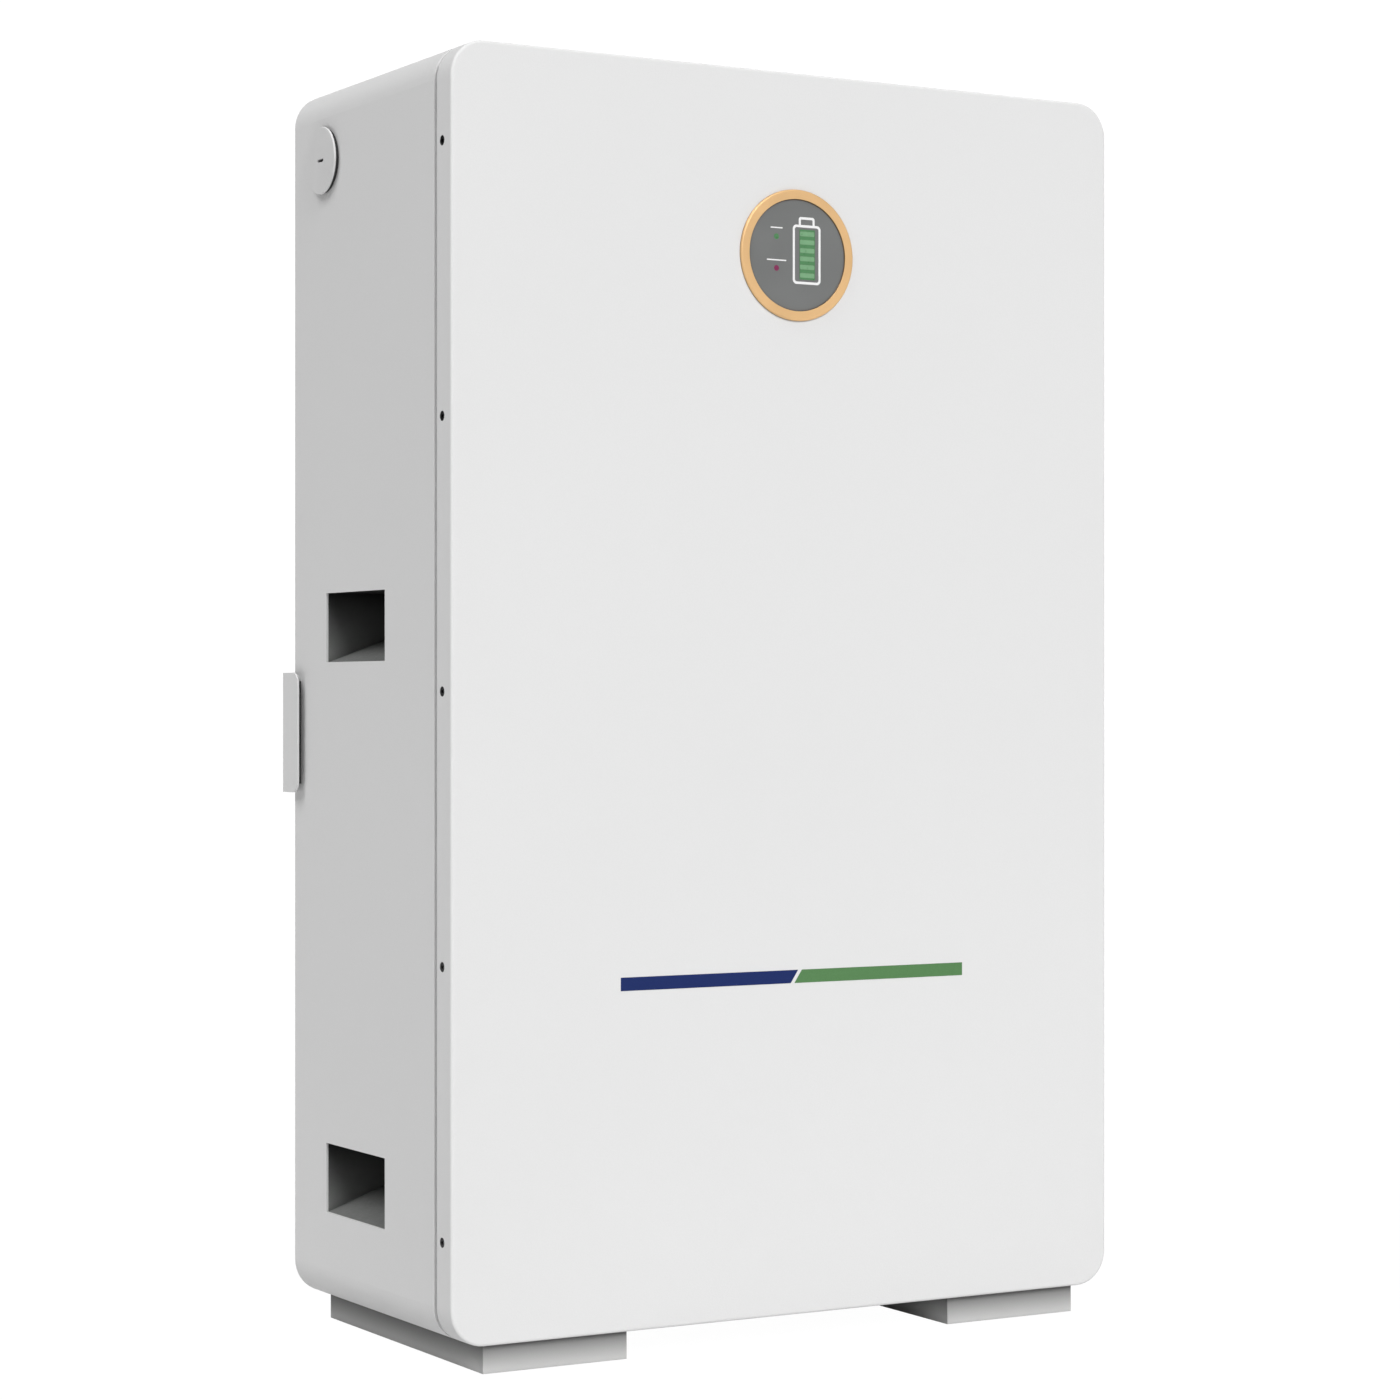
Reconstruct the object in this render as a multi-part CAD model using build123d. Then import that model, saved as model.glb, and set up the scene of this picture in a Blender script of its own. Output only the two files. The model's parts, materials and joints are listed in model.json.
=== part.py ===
from build123d import *
import os
from math import cos, radians, sin, sqrt, tan

# Wall battery unit. Millimetres. +Z is up and the front face looks along -Y.
# The origin is the centre of the footprint, on the surface that the foot pads
# stand on.

# ---- driving dimensions ------------------------------------------------------
BODY_W = 524.0          # housing width
BODY_H = 850.0          # housing height, without the feet
BODY_D = 254.0          # front face to back wall
CORNER_R = 24.0         # corner radius of the front outline
SHEET = 1.5             # steel sheet of the housing, cover and cups
EDGE_R = 2.0            # rolled outer edges
FOOT_H = 20.0           # floor to the underside of the housing
WALL_GAP = 6.0          # back wall to the building's wall
BEZEL_PROUD = 2.0       # display ring in front of the cover
COVER_D = 21.4          # depth of the front cover's flange
SEAM_W = 4.5            # groove between the cover's flange and the housing

GRIP_L = 96.0           # hand-grip opening, front to back
GRIP_H = 48.0           # hand-grip opening, height
GRIP_DEPTH = 60.0       # hand-grip pocket, into the side
GRIP_FLOOR_DEG = 20.0   # the pocket's floor rises inwards by this angle
GRIP_FROM_FRONT = 102.0
GRIP_BOTTOMS = (64.5, 447.0)     # sills of the lower and upper pair, above the underside

CELL_W, CELL_D, CELL_H = 174.0, 207.0, 72.0      # prismatic LFP cell, lying flat
CELL_ROWS = 8
CELL_GAP = 1.0

# ---- levels that follow from them --------------------------------------------
FRONT = -(BODY_D + WALL_GAP - BEZEL_PROUD) / 2
BACK = FRONT + BODY_D
WALL = BACK + WALL_GAP
BACK_IN = BACK - SHEET
COVER_IN = FRONT + SHEET
COVER_BACK = FRONT + COVER_D
SHELL_FRONT = COVER_BACK + SEAM_W
BASE = FOOT_H
BASE_IN = BASE + SHEET
TOP = BASE + BODY_H
MID_Z = BASE + BODY_H / 2
SIDE = BODY_W / 2
SIDE_IN = SIDE - SHEET

FIT = 0.05              # radial play of a fastener or pin in its hole
PLAY = 0.3              # play between pieces that move past each other

nodes = {}


# ---- small shape helpers -----------------------------------------------------
def block(x0, x1, y0, y1, z0, z1):
    """A box between two corners."""
    return Pos((x0 + x1) / 2, (y0 + y1) / 2, (z0 + z1) / 2) * Box(x1 - x0, y1 - y0, z1 - z0)


def rod_x(r, x0, x1, y, z):
    return Pos((x0 + x1) / 2, y, z) * Rot(0, 90, 0) * Cylinder(r, x1 - x0)


def rod_y(r, x, y0, y1, z):
    return Pos(x, (y0 + y1) / 2, z) * Rot(90, 0, 0) * Cylinder(r, y1 - y0)


def rod_z(r, x, y, z0, z1):
    return Pos(x, y, (z0 + z1) / 2) * Cylinder(r, z1 - z0)


def slab(inset, y0, y1):
    """The body's rounded outline, moved in by inset, from y0 to y1."""
    outline = RectangleRounded(BODY_W - 2 * inset, BODY_H - 2 * inset, CORNER_R - inset)
    return extrude(Plane(origin=(0, y0, MID_Z), x_dir=(1, 0, 0), z_dir=(0, 1, 0)) * outline, y1 - y0)


def panel_x(size_y, size_z, r, x0, x1, y, z):
    """A rounded rectangle in the YZ plane, from x0 to x1."""
    plane = Plane(origin=(x0, y, z), x_dir=(0, 1, 0), z_dir=(1, 0, 0))
    return extrude(plane * RectangleRounded(size_y, size_z, r), x1 - x0)


def panel_y(size_x, size_z, r, x, y0, y1, z):
    """A rounded rectangle in the XZ plane, from y0 to y1."""
    plane = Plane(origin=(x, y0, z), x_dir=(1, 0, 0), z_dir=(0, 1, 0))
    return extrude(plane * RectangleRounded(size_x, size_z, r), y1 - y0)


def prism_y(points, y0, y1):
    """A polygon of (x, z) points, from y0 to y1."""
    outline = make_face(Polyline(*points, close=True))
    return extrude(Plane(origin=(0, y1, 0), x_dir=(1, 0, 0), z_dir=(0, -1, 0)) * outline, y1 - y0)


def hexagon(radius, height):
    """A hexagonal prism that stands on z = 0."""
    return extrude(RegularPolygon(radius, 6), height)


def hex_nut(radius, bore_r, height):
    """A nut that stands on z = 0."""
    return hexagon(radius, height) - Pos(0, 0, height / 2) * Cylinder(bore_r, 2 * height)


def put(shape, point, outward):
    """Moves a shape whose own +Z points outwards to a point on a surface."""
    return Plane(origin=point, z_dir=outward).location * shape


def tube(points, radii, r):
    """A round cable along straight runs joined by tangent arcs."""
    path = FilletPolyline(*points, radius=radii)
    return sweep(Plane(origin=path @ 0, z_dir=path % 0) * Circle(r), path)


def mirrored(shape):
    return mirror(shape, about=Plane.YZ)


def store(name, *shapes):
    """Adds every solid of every shape given to a node."""
    nodes.setdefault(name, []).extend(solid for shape in shapes for solid in shape.solids())


# ---- screws that hold the cover ----------------------------------------------
SCREW_Y = FRONT + 13.8
SCREW_PITCH = 179.3
SCREW_RISE = 1.2         # middle screw above the housing's middle
SCREW_X_STEP = 165.0
LIP_INSET = SHEET + PLAY          # the housing's lip, inside the cover's flange
LIP_FRONT = FRONT + 5.5
LIP_RIM = 14.0                    # width of the lip's turned-in rim
SCREW_R = 2.0
SCREW_HEAD_R = 3.3
SCREW_HEAD_H = 1.4
SCREW_SUNK = 0.1
SCREW_LENGTH = 9.0


def screw_places():
    """Each cover screw's point on the surface and its outward direction."""
    places = []
    for step in range(-2, 3):
        z = MID_Z + SCREW_RISE + step * SCREW_PITCH
        places.append(((SIDE, SCREW_Y, z), (1, 0, 0)))
        places.append(((-SIDE, SCREW_Y, z), (-1, 0, 0)))
    for step in (-1, 0, 1):
        places.append(((step * SCREW_X_STEP, SCREW_Y, TOP), (0, 0, 1)))
        places.append(((step * SCREW_X_STEP, SCREW_Y, BASE), (0, 0, -1)))
    return places


def countersunk_screw():
    head = Pos(0, 0, -SCREW_SUNK - SCREW_HEAD_H / 2) * Cone(SCREW_R, SCREW_HEAD_R, SCREW_HEAD_H)
    shank_top = -SCREW_SUNK - SCREW_HEAD_H
    shank = Pos(0, 0, (shank_top - SCREW_LENGTH) / 2) * Cylinder(SCREW_R, SCREW_LENGTH + shank_top)
    socket = Pos(0, 0, -1.3) * hexagon(1.45, 2)
    return head + shank - socket


def screw_cutter(depth):
    """The countersunk hole through a sheet, and the plain hole behind it."""
    mouth = Pos(0, 0, -SHEET / 2) * Cone(SCREW_R + 0.1, SCREW_HEAD_R + 0.15, SHEET)
    return mouth + Pos(0, 0, -depth / 2) * Cylinder(SCREW_R + 0.1, depth)


def make_screws():
    screw = countersunk_screw()
    nut = Pos(0, 0, -LIP_INSET - SHEET - 3.5) * hex_nut(4.2, SCREW_R + FIT, 3.5)
    store("countersunk_screws", *[put(screw, point, out) for point, out in screw_places()])
    store("weld_nuts", *[put(nut, point, out) for point, out in screw_places()])
    plate_nut = Pos(0, 0, -2 * SHEET - 3.5) * hex_nut(4.2, SCREW_R + FIT, 3.5)
    store("countersunk_screws", *[put(screw, point, out) for point, out in plate_screw_places()])
    store("weld_nuts", *[put(plate_nut, point, out) for point, out in plate_screw_places()])


# ---- hand grips --------------------------------------------------------------
GRIP_Y0 = FRONT + GRIP_FROM_FRONT
GRIP_Y1 = GRIP_Y0 + GRIP_L
GRIP_RISE = GRIP_DEPTH * tan(radians(GRIP_FLOOR_DEG))


def make_grip_cup(z0):
    """Five plates welded into a pocket behind the right-hand side wall, its floor rising inwards."""
    z1 = z0 + GRIP_H
    deep = SIDE_IN - GRIP_DEPTH
    back = deep - SHEET
    high = z0 + GRIP_RISE
    y0, y1 = GRIP_Y0 - SHEET, GRIP_Y1 + SHEET
    ceiling = block(back, SIDE_IN, y0, y1, z1, z1 + SHEET)
    rear = block(back, deep, y0, y1, high, z1)
    slope = [(SIDE_IN, z0 - SHEET), (SIDE_IN, z0), (deep, high), (back, high), (back, high - SHEET)]
    floor = prism_y(slope, y0, y1)
    cheek = [(SIDE_IN, z0), (SIDE_IN, z1), (deep, z1), (deep, high)]
    cheeks = [prism_y(cheek, y0, GRIP_Y0), prism_y(cheek, GRIP_Y1, y1)]
    return [ceiling, rear, floor, *cheeks]


def grip_mouth(z0):
    return block(SIDE_IN - 1, SIDE + 1, GRIP_Y0, GRIP_Y1, z0, z0 + GRIP_H)


def make_grips():
    for height in GRIP_BOTTOMS:
        plates = make_grip_cup(BASE + height)
        store("handle_cups", *plates, *[mirrored(plate) for plate in plates])


# ---- connection recess in the right-hand side --------------------------------
RECESS_W = 150.0
RECESS_H = 250.0
RECESS_R = 6.0
RECESS_DEPTH = 38.0
RECESS_Y = FRONT + 145.0
RECESS_Z = BASE + 665.0
DECK = SIDE_IN - RECESS_DEPTH      # the face that the connectors stand on
DECK_IN = DECK - SHEET
RIM_W = 10.0                       # rim behind the connector plate's edge

BREAKER_Y, BREAKER_Z = RECESS_Y - 26, RECESS_Z + 70
BREAKER_W = 54.0
NOSE_H = 45.0
NOSE_OUT = 8.0                     # breaker's nose in front of the deck
BREAKER_DEEP = 62.0
BREAKER_H = 86.0
LEVER_W = 40.0
LEVER_PIVOT_X = DECK + 1.0
LEVER_HUB_R = 8.4
LEVER_REACH = 20.0
LEVER_T = 5.0
LEVER_REST_DEG = 35.0              # above level when switched on
BREAKER_PIN_R = 2.0

POWER_Y, POWER_Z = RECESS_Y + 39, RECESS_Z + 95
POWER_CAP_R = 8.0
RESET_Y, RESET_Z = RECESS_Y + 39, RECESS_Z + 62
RESET_R = 2.7
DIP_Y, DIP_Z = RECESS_Y + 39, RECESS_Z + 32
DIP_WAYS = 4
DIP_PITCH = 2.54
DIP_TRAVEL = 1.8
DIP_KNOB = 1.3
JACK_Z = RECESS_Z - 20
JACK_YS = [RECESS_Y - 46, RECESS_Y - 24, RECESS_Y - 2]
JACK_W, JACK_H, JACK_DEEP = 16.0, 14.0, 18.0
JACK_HOLE_W, JACK_HOLE_H, JACK_HOLE_DEEP = 11.8, 8.0, 13.0
SOCKET_Z = RECESS_Z - 85
SOCKET_PITCH = 32.0
SOCKET_YS = [RECESS_Y + SOCKET_PITCH * step for step in (-1.5, -0.5, 0.5, 1.5)]
SOCKET_FLANGE = 28.0
SOCKET_BARREL_R = 11.0
SOCKET_HOLE_R = 9.0
SOCKET_DEEP = 26.0
CONTACT_R = 6.0
CONTACT_BORE_R = 4.0
STUD_Y, STUD_Z = RECESS_Y + 52, RECESS_Z - 36
STUD_R = 3.0                       # free end, for a ring terminal
STUD_BASE_R = 3.2                  # through the deck and the nut
STUD_NUT_H = 5.0
VENT_Y, VENT_Z = RECESS_Y + 24, RECESS_Z - 36
VENT_R = 12.0


def recess_panel(margin, x0, x1):
    """The recess's outline, larger by margin all round, from x0 to x1."""
    wide, tall = RECESS_W + 2 * margin, RECESS_H + 2 * margin
    return panel_x(wide, tall, RECESS_R + margin, x0, x1, RECESS_Y, RECESS_Z)


def plate_screw_places():
    half_y, half_z = RECESS_W / 2 - RIM_W / 2, RECESS_H / 2 - RIM_W / 2
    return [((DECK, RECESS_Y + y, RECESS_Z + z), (1, 0, 0))
            for y in (-half_y, half_y) for z in (-half_z, 0, half_z)]


def make_recess():
    """Four walls welded behind the opening, with a rim that the connector plate is screwed to."""
    walls = recess_panel(SHEET, DECK_IN - SHEET, SIDE_IN) + recess_panel(10, SIDE_IN - SHEET, SIDE_IN)
    walls -= recess_panel(0, DECK_IN, SIDE_IN + 1)
    walls -= panel_x(RECESS_W - 2 * RIM_W, RECESS_H - 2 * RIM_W, 2, DECK_IN - 2, DECK, RECESS_Y, RECESS_Z)
    plate = recess_panel(-0.3, DECK_IN, DECK)
    x0, x1 = DECK_IN - 1, DECK + 1
    for point, out in plate_screw_places():
        walls -= put(rod_z(SCREW_R + 0.1, 0, 0, -5, 0), point, out)
        plate -= put(screw_cutter(3.0), point, out)
    plate -= panel_x(BREAKER_W + 1, NOSE_H + 1, 1, x0, x1, BREAKER_Y, BREAKER_Z)
    plate -= rod_x(9.8, x0, x1, POWER_Y, POWER_Z)
    plate -= rod_x(RESET_R + PLAY, x0, x1, RESET_Y, RESET_Z)
    plate -= panel_x(DIP_WAYS * DIP_PITCH + 2.5, 10.4, 0.5, x0, x1, DIP_Y, DIP_Z)
    for y in JACK_YS:
        plate -= panel_x(JACK_W + 0.4, JACK_H + 0.4, 0.5, x0, x1, y, JACK_Z)
    for y in SOCKET_YS:
        plate -= rod_x(SOCKET_BARREL_R + 0.3, x0, x1, y, SOCKET_Z)
    plate -= rod_x(STUD_BASE_R + 0.2, x0, x1, STUD_Y, STUD_Z)
    plate -= rod_x(6.2, x0, x1, VENT_Y, VENT_Z)
    store("recess_frame", walls)
    store("connector_plate", plate)


def make_breaker():
    """Two-pole DC breaker: body, its tie-barred lever, the lever's pin and the rail behind."""
    nose_x = DECK + NOSE_OUT
    back_x = DECK_IN - BREAKER_DEEP
    y0, y1 = BREAKER_Y - BREAKER_W / 2, BREAKER_Y + BREAKER_W / 2
    body = block(back_x, DECK_IN, y0, y1, BREAKER_Z - BREAKER_H / 2, BREAKER_Z + BREAKER_H / 2)
    nose = block(DECK_IN, nose_x, y0, y1, BREAKER_Z - NOSE_H / 2, BREAKER_Z + NOSE_H / 2)
    nose = fillet(nose.faces().sort_by(Axis.X)[-1].edges(), 1.0)
    body = body + nose
    room = LEVER_W / 2 + 0.6
    room0, room1 = BREAKER_Y - LEVER_W / 2 - 0.6, BREAKER_Y + LEVER_W / 2 + 0.6
    hub_room = rod_y(LEVER_HUB_R + 0.6, LEVER_PIVOT_X, room0, room1, BREAKER_Z)
    swing = block(LEVER_PIVOT_X, nose_x + 1, room0, room1, BREAKER_Z - 10, BREAKER_Z + 10)
    pin0, pin1 = room0 - 3.4, room1 + 3.4
    store("breaker_pin", rod_y(BREAKER_PIN_R, LEVER_PIVOT_X, pin0, pin1, BREAKER_Z))
    pin_hole = rod_y(BREAKER_PIN_R + 0.02, LEVER_PIVOT_X, pin0, pin1, BREAKER_Z)
    rail_z = 17.5
    slot_z = rail_z + 0.2
    rail_slot = block(back_x - 1, back_x + 4, y0 - 1, y1 + 1, BREAKER_Z - slot_z, BREAKER_Z + slot_z)
    store("breaker_body", body - hub_room - swing - pin_hole - rail_slot)

    hub = rod_y(LEVER_HUB_R, LEVER_PIVOT_X, BREAKER_Y - LEVER_W / 2, BREAKER_Y + LEVER_W / 2, BREAKER_Z)
    arm = block(0, LEVER_REACH, -LEVER_W / 2, LEVER_W / 2, -LEVER_T / 2, LEVER_T / 2)
    arm = fillet(arm.edges().filter_by(Axis.Y).group_by(Axis.X)[-1], 2.2)
    arm = Pos(LEVER_PIVOT_X, BREAKER_Y, BREAKER_Z) * Rot(0, -LEVER_REST_DEG, 0) * arm
    bore = rod_y(BREAKER_PIN_R + FIT, LEVER_PIVOT_X, BREAKER_Y - LEVER_W, BREAKER_Y + LEVER_W, BREAKER_Z)
    store("breaker_lever", hub + arm - bore)

    rail_x = back_x + 4
    rail0, rail1 = BREAKER_Y - 55, BREAKER_Y + 55
    hat = block(rail_x - 1, rail_x, rail0, rail1, BREAKER_Z - rail_z, BREAKER_Z + rail_z)
    hat += block(rail_x - 7.5, rail_x - 1, rail0, rail1, BREAKER_Z - 13.5, BREAKER_Z + 13.5)
    hat -= block(rail_x - 6.5, rail_x + 1, rail0 - 1, rail1 + 1, BREAKER_Z - 12.5, BREAKER_Z + 12.5)

    arm_x = rail_x - 7.5
    arm_plate = block(arm_x - 2, arm_x, rail0, BACK_IN, BREAKER_Z - 20, BREAKER_Z + 20)
    arm_foot = block(arm_x - 30, arm_x, BACK_IN - 2, BACK_IN, BREAKER_Z - 20, BREAKER_Z + 20)
    store("breaker_rail", hat, arm_plate + arm_foot)


def make_power_button():
    ring = rod_x(12.5, DECK, DECK + 2.5, POWER_Y, POWER_Z)
    ring = chamfer(ring.faces().sort_by(Axis.X)[-1].edges(), 0.8)
    barrel = rod_x(9.6, DECK - 22, DECK, POWER_Y, POWER_Z)
    room = rod_x(POWER_CAP_R + PLAY, DECK - 16, DECK + 3, POWER_Y, POWER_Z)
    store("power_button_barrel", ring + barrel - room)
    cap = rod_x(POWER_CAP_R, DECK - 12, DECK + 4.5, POWER_Y, POWER_Z)
    store("power_button", fillet(cap.faces().sort_by(Axis.X)[-1].edges(), 1.2))
    nut = hex_nut(13.0, 9.65, 4.0)
    store("power_button_barrel", put(nut, (DECK_IN, POWER_Y, POWER_Z), (-1, 0, 0)))


def make_reset_button():
    switch = block(DECK_IN - 9, DECK_IN, RESET_Y - 6, RESET_Y + 6, RESET_Z - 6, RESET_Z + 6)
    switch -= rod_x(RESET_R + PLAY, DECK_IN - 6.5, DECK_IN + 1, RESET_Y, RESET_Z)
    store("reset_switch_body", switch)
    button = rod_x(RESET_R, DECK_IN - 4.5, DECK + 0.5, RESET_Y, RESET_Z)
    store("reset_button", fillet(button.faces().sort_by(Axis.X)[-1].edges(), 0.5))


def make_dip_switch():
    """A four-way address switch; each slider runs up and down in its own slot."""
    half_w = DIP_WAYS * DIP_PITCH / 2 + 1
    front = DECK + 1.0
    body = block(front - 6, front, DIP_Y - half_w, DIP_Y + half_w, DIP_Z - 5, DIP_Z + 5)
    slot_half = (DIP_KNOB + DIP_TRAVEL) / 2 + PLAY
    for way in range(DIP_WAYS):
        y = DIP_Y + (way - (DIP_WAYS - 1) / 2) * DIP_PITCH
        body -= block(front - 2.5, front + 1, y - DIP_KNOB / 2 - PLAY, y + DIP_KNOB / 2 + PLAY,
                      DIP_Z - slot_half, DIP_Z + slot_half)
        low = DIP_Z - slot_half + PLAY
        knob = block(front - 2.2, front + 0.8, y - DIP_KNOB / 2, y + DIP_KNOB / 2, low, low + DIP_KNOB)
        store("dip_slider_%d" % (way + 1), knob)
    store("dip_switch_body", body)


def make_comm_jacks():
    jacks = []
    front = DECK + 1.5
    deep = front - JACK_HOLE_DEEP
    half_w, half_h = JACK_W / 2, JACK_H / 2
    hole_w, hole_h = JACK_HOLE_W / 2, JACK_HOLE_H / 2
    for y in JACK_YS:
        jack = block(front - JACK_DEEP, front, y - half_w, y + half_w, JACK_Z - half_h, JACK_Z + half_h)
        jack -= block(deep, front + 1, y - hole_w, y + hole_w, JACK_Z - hole_h, JACK_Z + hole_h)
        latch_way = block(deep, front + 1, y - 3, y + 3, JACK_Z, JACK_Z + hole_h + 1.6)
        jack -= latch_way
        jacks.append(jack)
    store("comm_jacks", *jacks)


def make_power_sockets():
    """Four round power sockets, two for each pole, each round a hollow brass contact."""
    housings, contacts = [], []
    tail_x = DECK - SOCKET_DEEP - 8
    for y in SOCKET_YS:
        flange = panel_x(SOCKET_FLANGE, SOCKET_FLANGE, 4, DECK, DECK + 4, y, SOCKET_Z)
        flange = chamfer(flange.faces().sort_by(Axis.X)[-1].edges(), 0.8)
        barrel = rod_x(SOCKET_BARREL_R, DECK - SOCKET_DEEP, DECK, y, SOCKET_Z)
        room = rod_x(SOCKET_HOLE_R, DECK + 4 - SOCKET_DEEP + 2, DECK + 5, y, SOCKET_Z)
        tail_room = rod_x(CONTACT_R + FIT, DECK - SOCKET_DEEP - 1, DECK + 5, y, SOCKET_Z)
        housings.append(flange + barrel - room - tail_room)
        contact = rod_x(CONTACT_R, tail_x, DECK, y, SOCKET_Z)
        contact -= rod_x(CONTACT_BORE_R, DECK - 20, DECK + 1, y, SOCKET_Z)
        contacts.append(contact)
    store("power_sockets_negative", *housings[:2])
    store("power_sockets_positive", *housings[2:])
    for pair in (0, 2):
        link = block(tail_x, tail_x + 3, SOCKET_YS[pair], SOCKET_YS[pair + 1], SOCKET_Z - 6, SOCKET_Z + 6)
        store("power_socket_contacts", contacts[pair] + contacts[pair + 1] + link)


def make_ground_and_vent():
    stud = rod_x(STUD_R, DECK + STUD_NUT_H, DECK + 16, STUD_Y, STUD_Z)
    stud += rod_x(STUD_BASE_R, DECK_IN - 10, DECK + STUD_NUT_H, STUD_Y, STUD_Z)
    stud += rod_x(7, DECK_IN - 2, DECK_IN, STUD_Y, STUD_Z)
    store("ground_stud", stud)
    nut = put(hex_nut(5.8, STUD_BASE_R + FIT, STUD_NUT_H), (DECK, STUD_Y, STUD_Z), (1, 0, 0))
    store("ground_stud", nut)
    vent = rod_x(VENT_R, DECK, DECK + 4, VENT_Y, VENT_Z)
    vent = fillet(vent.faces().sort_by(Axis.X)[-1].edges(), 1.5)
    vent += rod_x(6, DECK_IN - 8, DECK, VENT_Y, VENT_Z)
    vent -= rod_x(2, DECK_IN - 9, DECK + 2, VENT_Y, VENT_Z)
    store("pressure_vent", vent)


# ---- coin-slotted cap at the top of the left-hand side -----------------------
CAP_Y = FRONT + 199.4
CAP_Z = MID_Z + 371.0
CAP_R = 23.4
CAP_T = 1.4                        # thin edge, with a gap behind it
CAP_GASKET_R = 22.0
CAP_OUT = 4.0                      # its face, in front of the side wall
CAP_BOSS_R = 16.0
CAP_TAB_R = 20.0
CAP_TAB_W = 10.0
CAP_HOLE_R = CAP_BOSS_R + 0.4
CAP_RING_T = 2.0


def cap_hole(x0, x1):
    """The round hole with a notch at the front and the back for the cap's two tabs."""
    hole = rod_x(CAP_HOLE_R, x0, x1, CAP_Y, CAP_Z)
    reach = CAP_TAB_R + 0.5
    half = CAP_TAB_W / 2 + 0.5
    return hole + block(x0, x1, CAP_Y - reach, CAP_Y + reach, CAP_Z - half, CAP_Z + half)


def make_side_cap():
    face = -SIDE - CAP_OUT
    disc = rod_x(CAP_R, face, face + CAP_T, CAP_Y, CAP_Z)
    disc = fillet(disc.faces().sort_by(Axis.X)[0].edges(), 0.5)
    ring_back = -SIDE_IN + CAP_RING_T
    tab_back = ring_back + PLAY + 3
    boss = rod_x(CAP_BOSS_R, face + CAP_T, tab_back, CAP_Y, CAP_Z)
    tabs = block(ring_back + PLAY, tab_back, CAP_Y - CAP_TAB_W / 2, CAP_Y + CAP_TAB_W / 2,
                 CAP_Z - CAP_TAB_R, CAP_Z + CAP_TAB_R)
    slot = panel_x(10.0, 2.2, 1.0, face - 1, face + 3.2, CAP_Y, CAP_Z)
    store("side_cap", disc + boss + tabs - slot)

    gasket = rod_x(CAP_GASKET_R, -SIDE - CAP_OUT + CAP_T + PLAY, -SIDE, CAP_Y, CAP_Z)
    store("side_cap_gasket", gasket - rod_x(CAP_TAB_R + 1, -SIDE - CAP_OUT, -SIDE + 1, CAP_Y, CAP_Z))
    ring = rod_x(26, -SIDE_IN, ring_back, CAP_Y, CAP_Z)
    store("side_cap_bayonet_ring", ring - cap_hole(-SIDE_IN - 1, ring_back + 1))


# ---- wall bracket and what hangs on it ---------------------------------------
BRACKET_T = 1.5
BRACKET_H = 84.5
BRACKET_Z0 = MID_Z - 69.5
BRACKET_Z1 = BRACKET_Z0 + BRACKET_H
EAR_OUT = 6.0                      # ear's outer face from the side wall
EAR_FRONT = FRONT + 235.0
EAR_R = 8.0
FOOT_PLATE_X = 150.0               # inner edge of the plates that lie on the wall
ANCHOR_X = 210.0
ANCHOR_Z_STEP = 50.0
ANCHOR_SLOT_W = 9.0
ANCHOR_SLOT_L = 18.0
HANGER_X = 120.0
HANGER_Z = BRACKET_Z0 + 28.0
HANGER_R = 3.5
HANGER_HEAD_R = 7.0
KEYHOLE_RISE = 24.0


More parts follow.
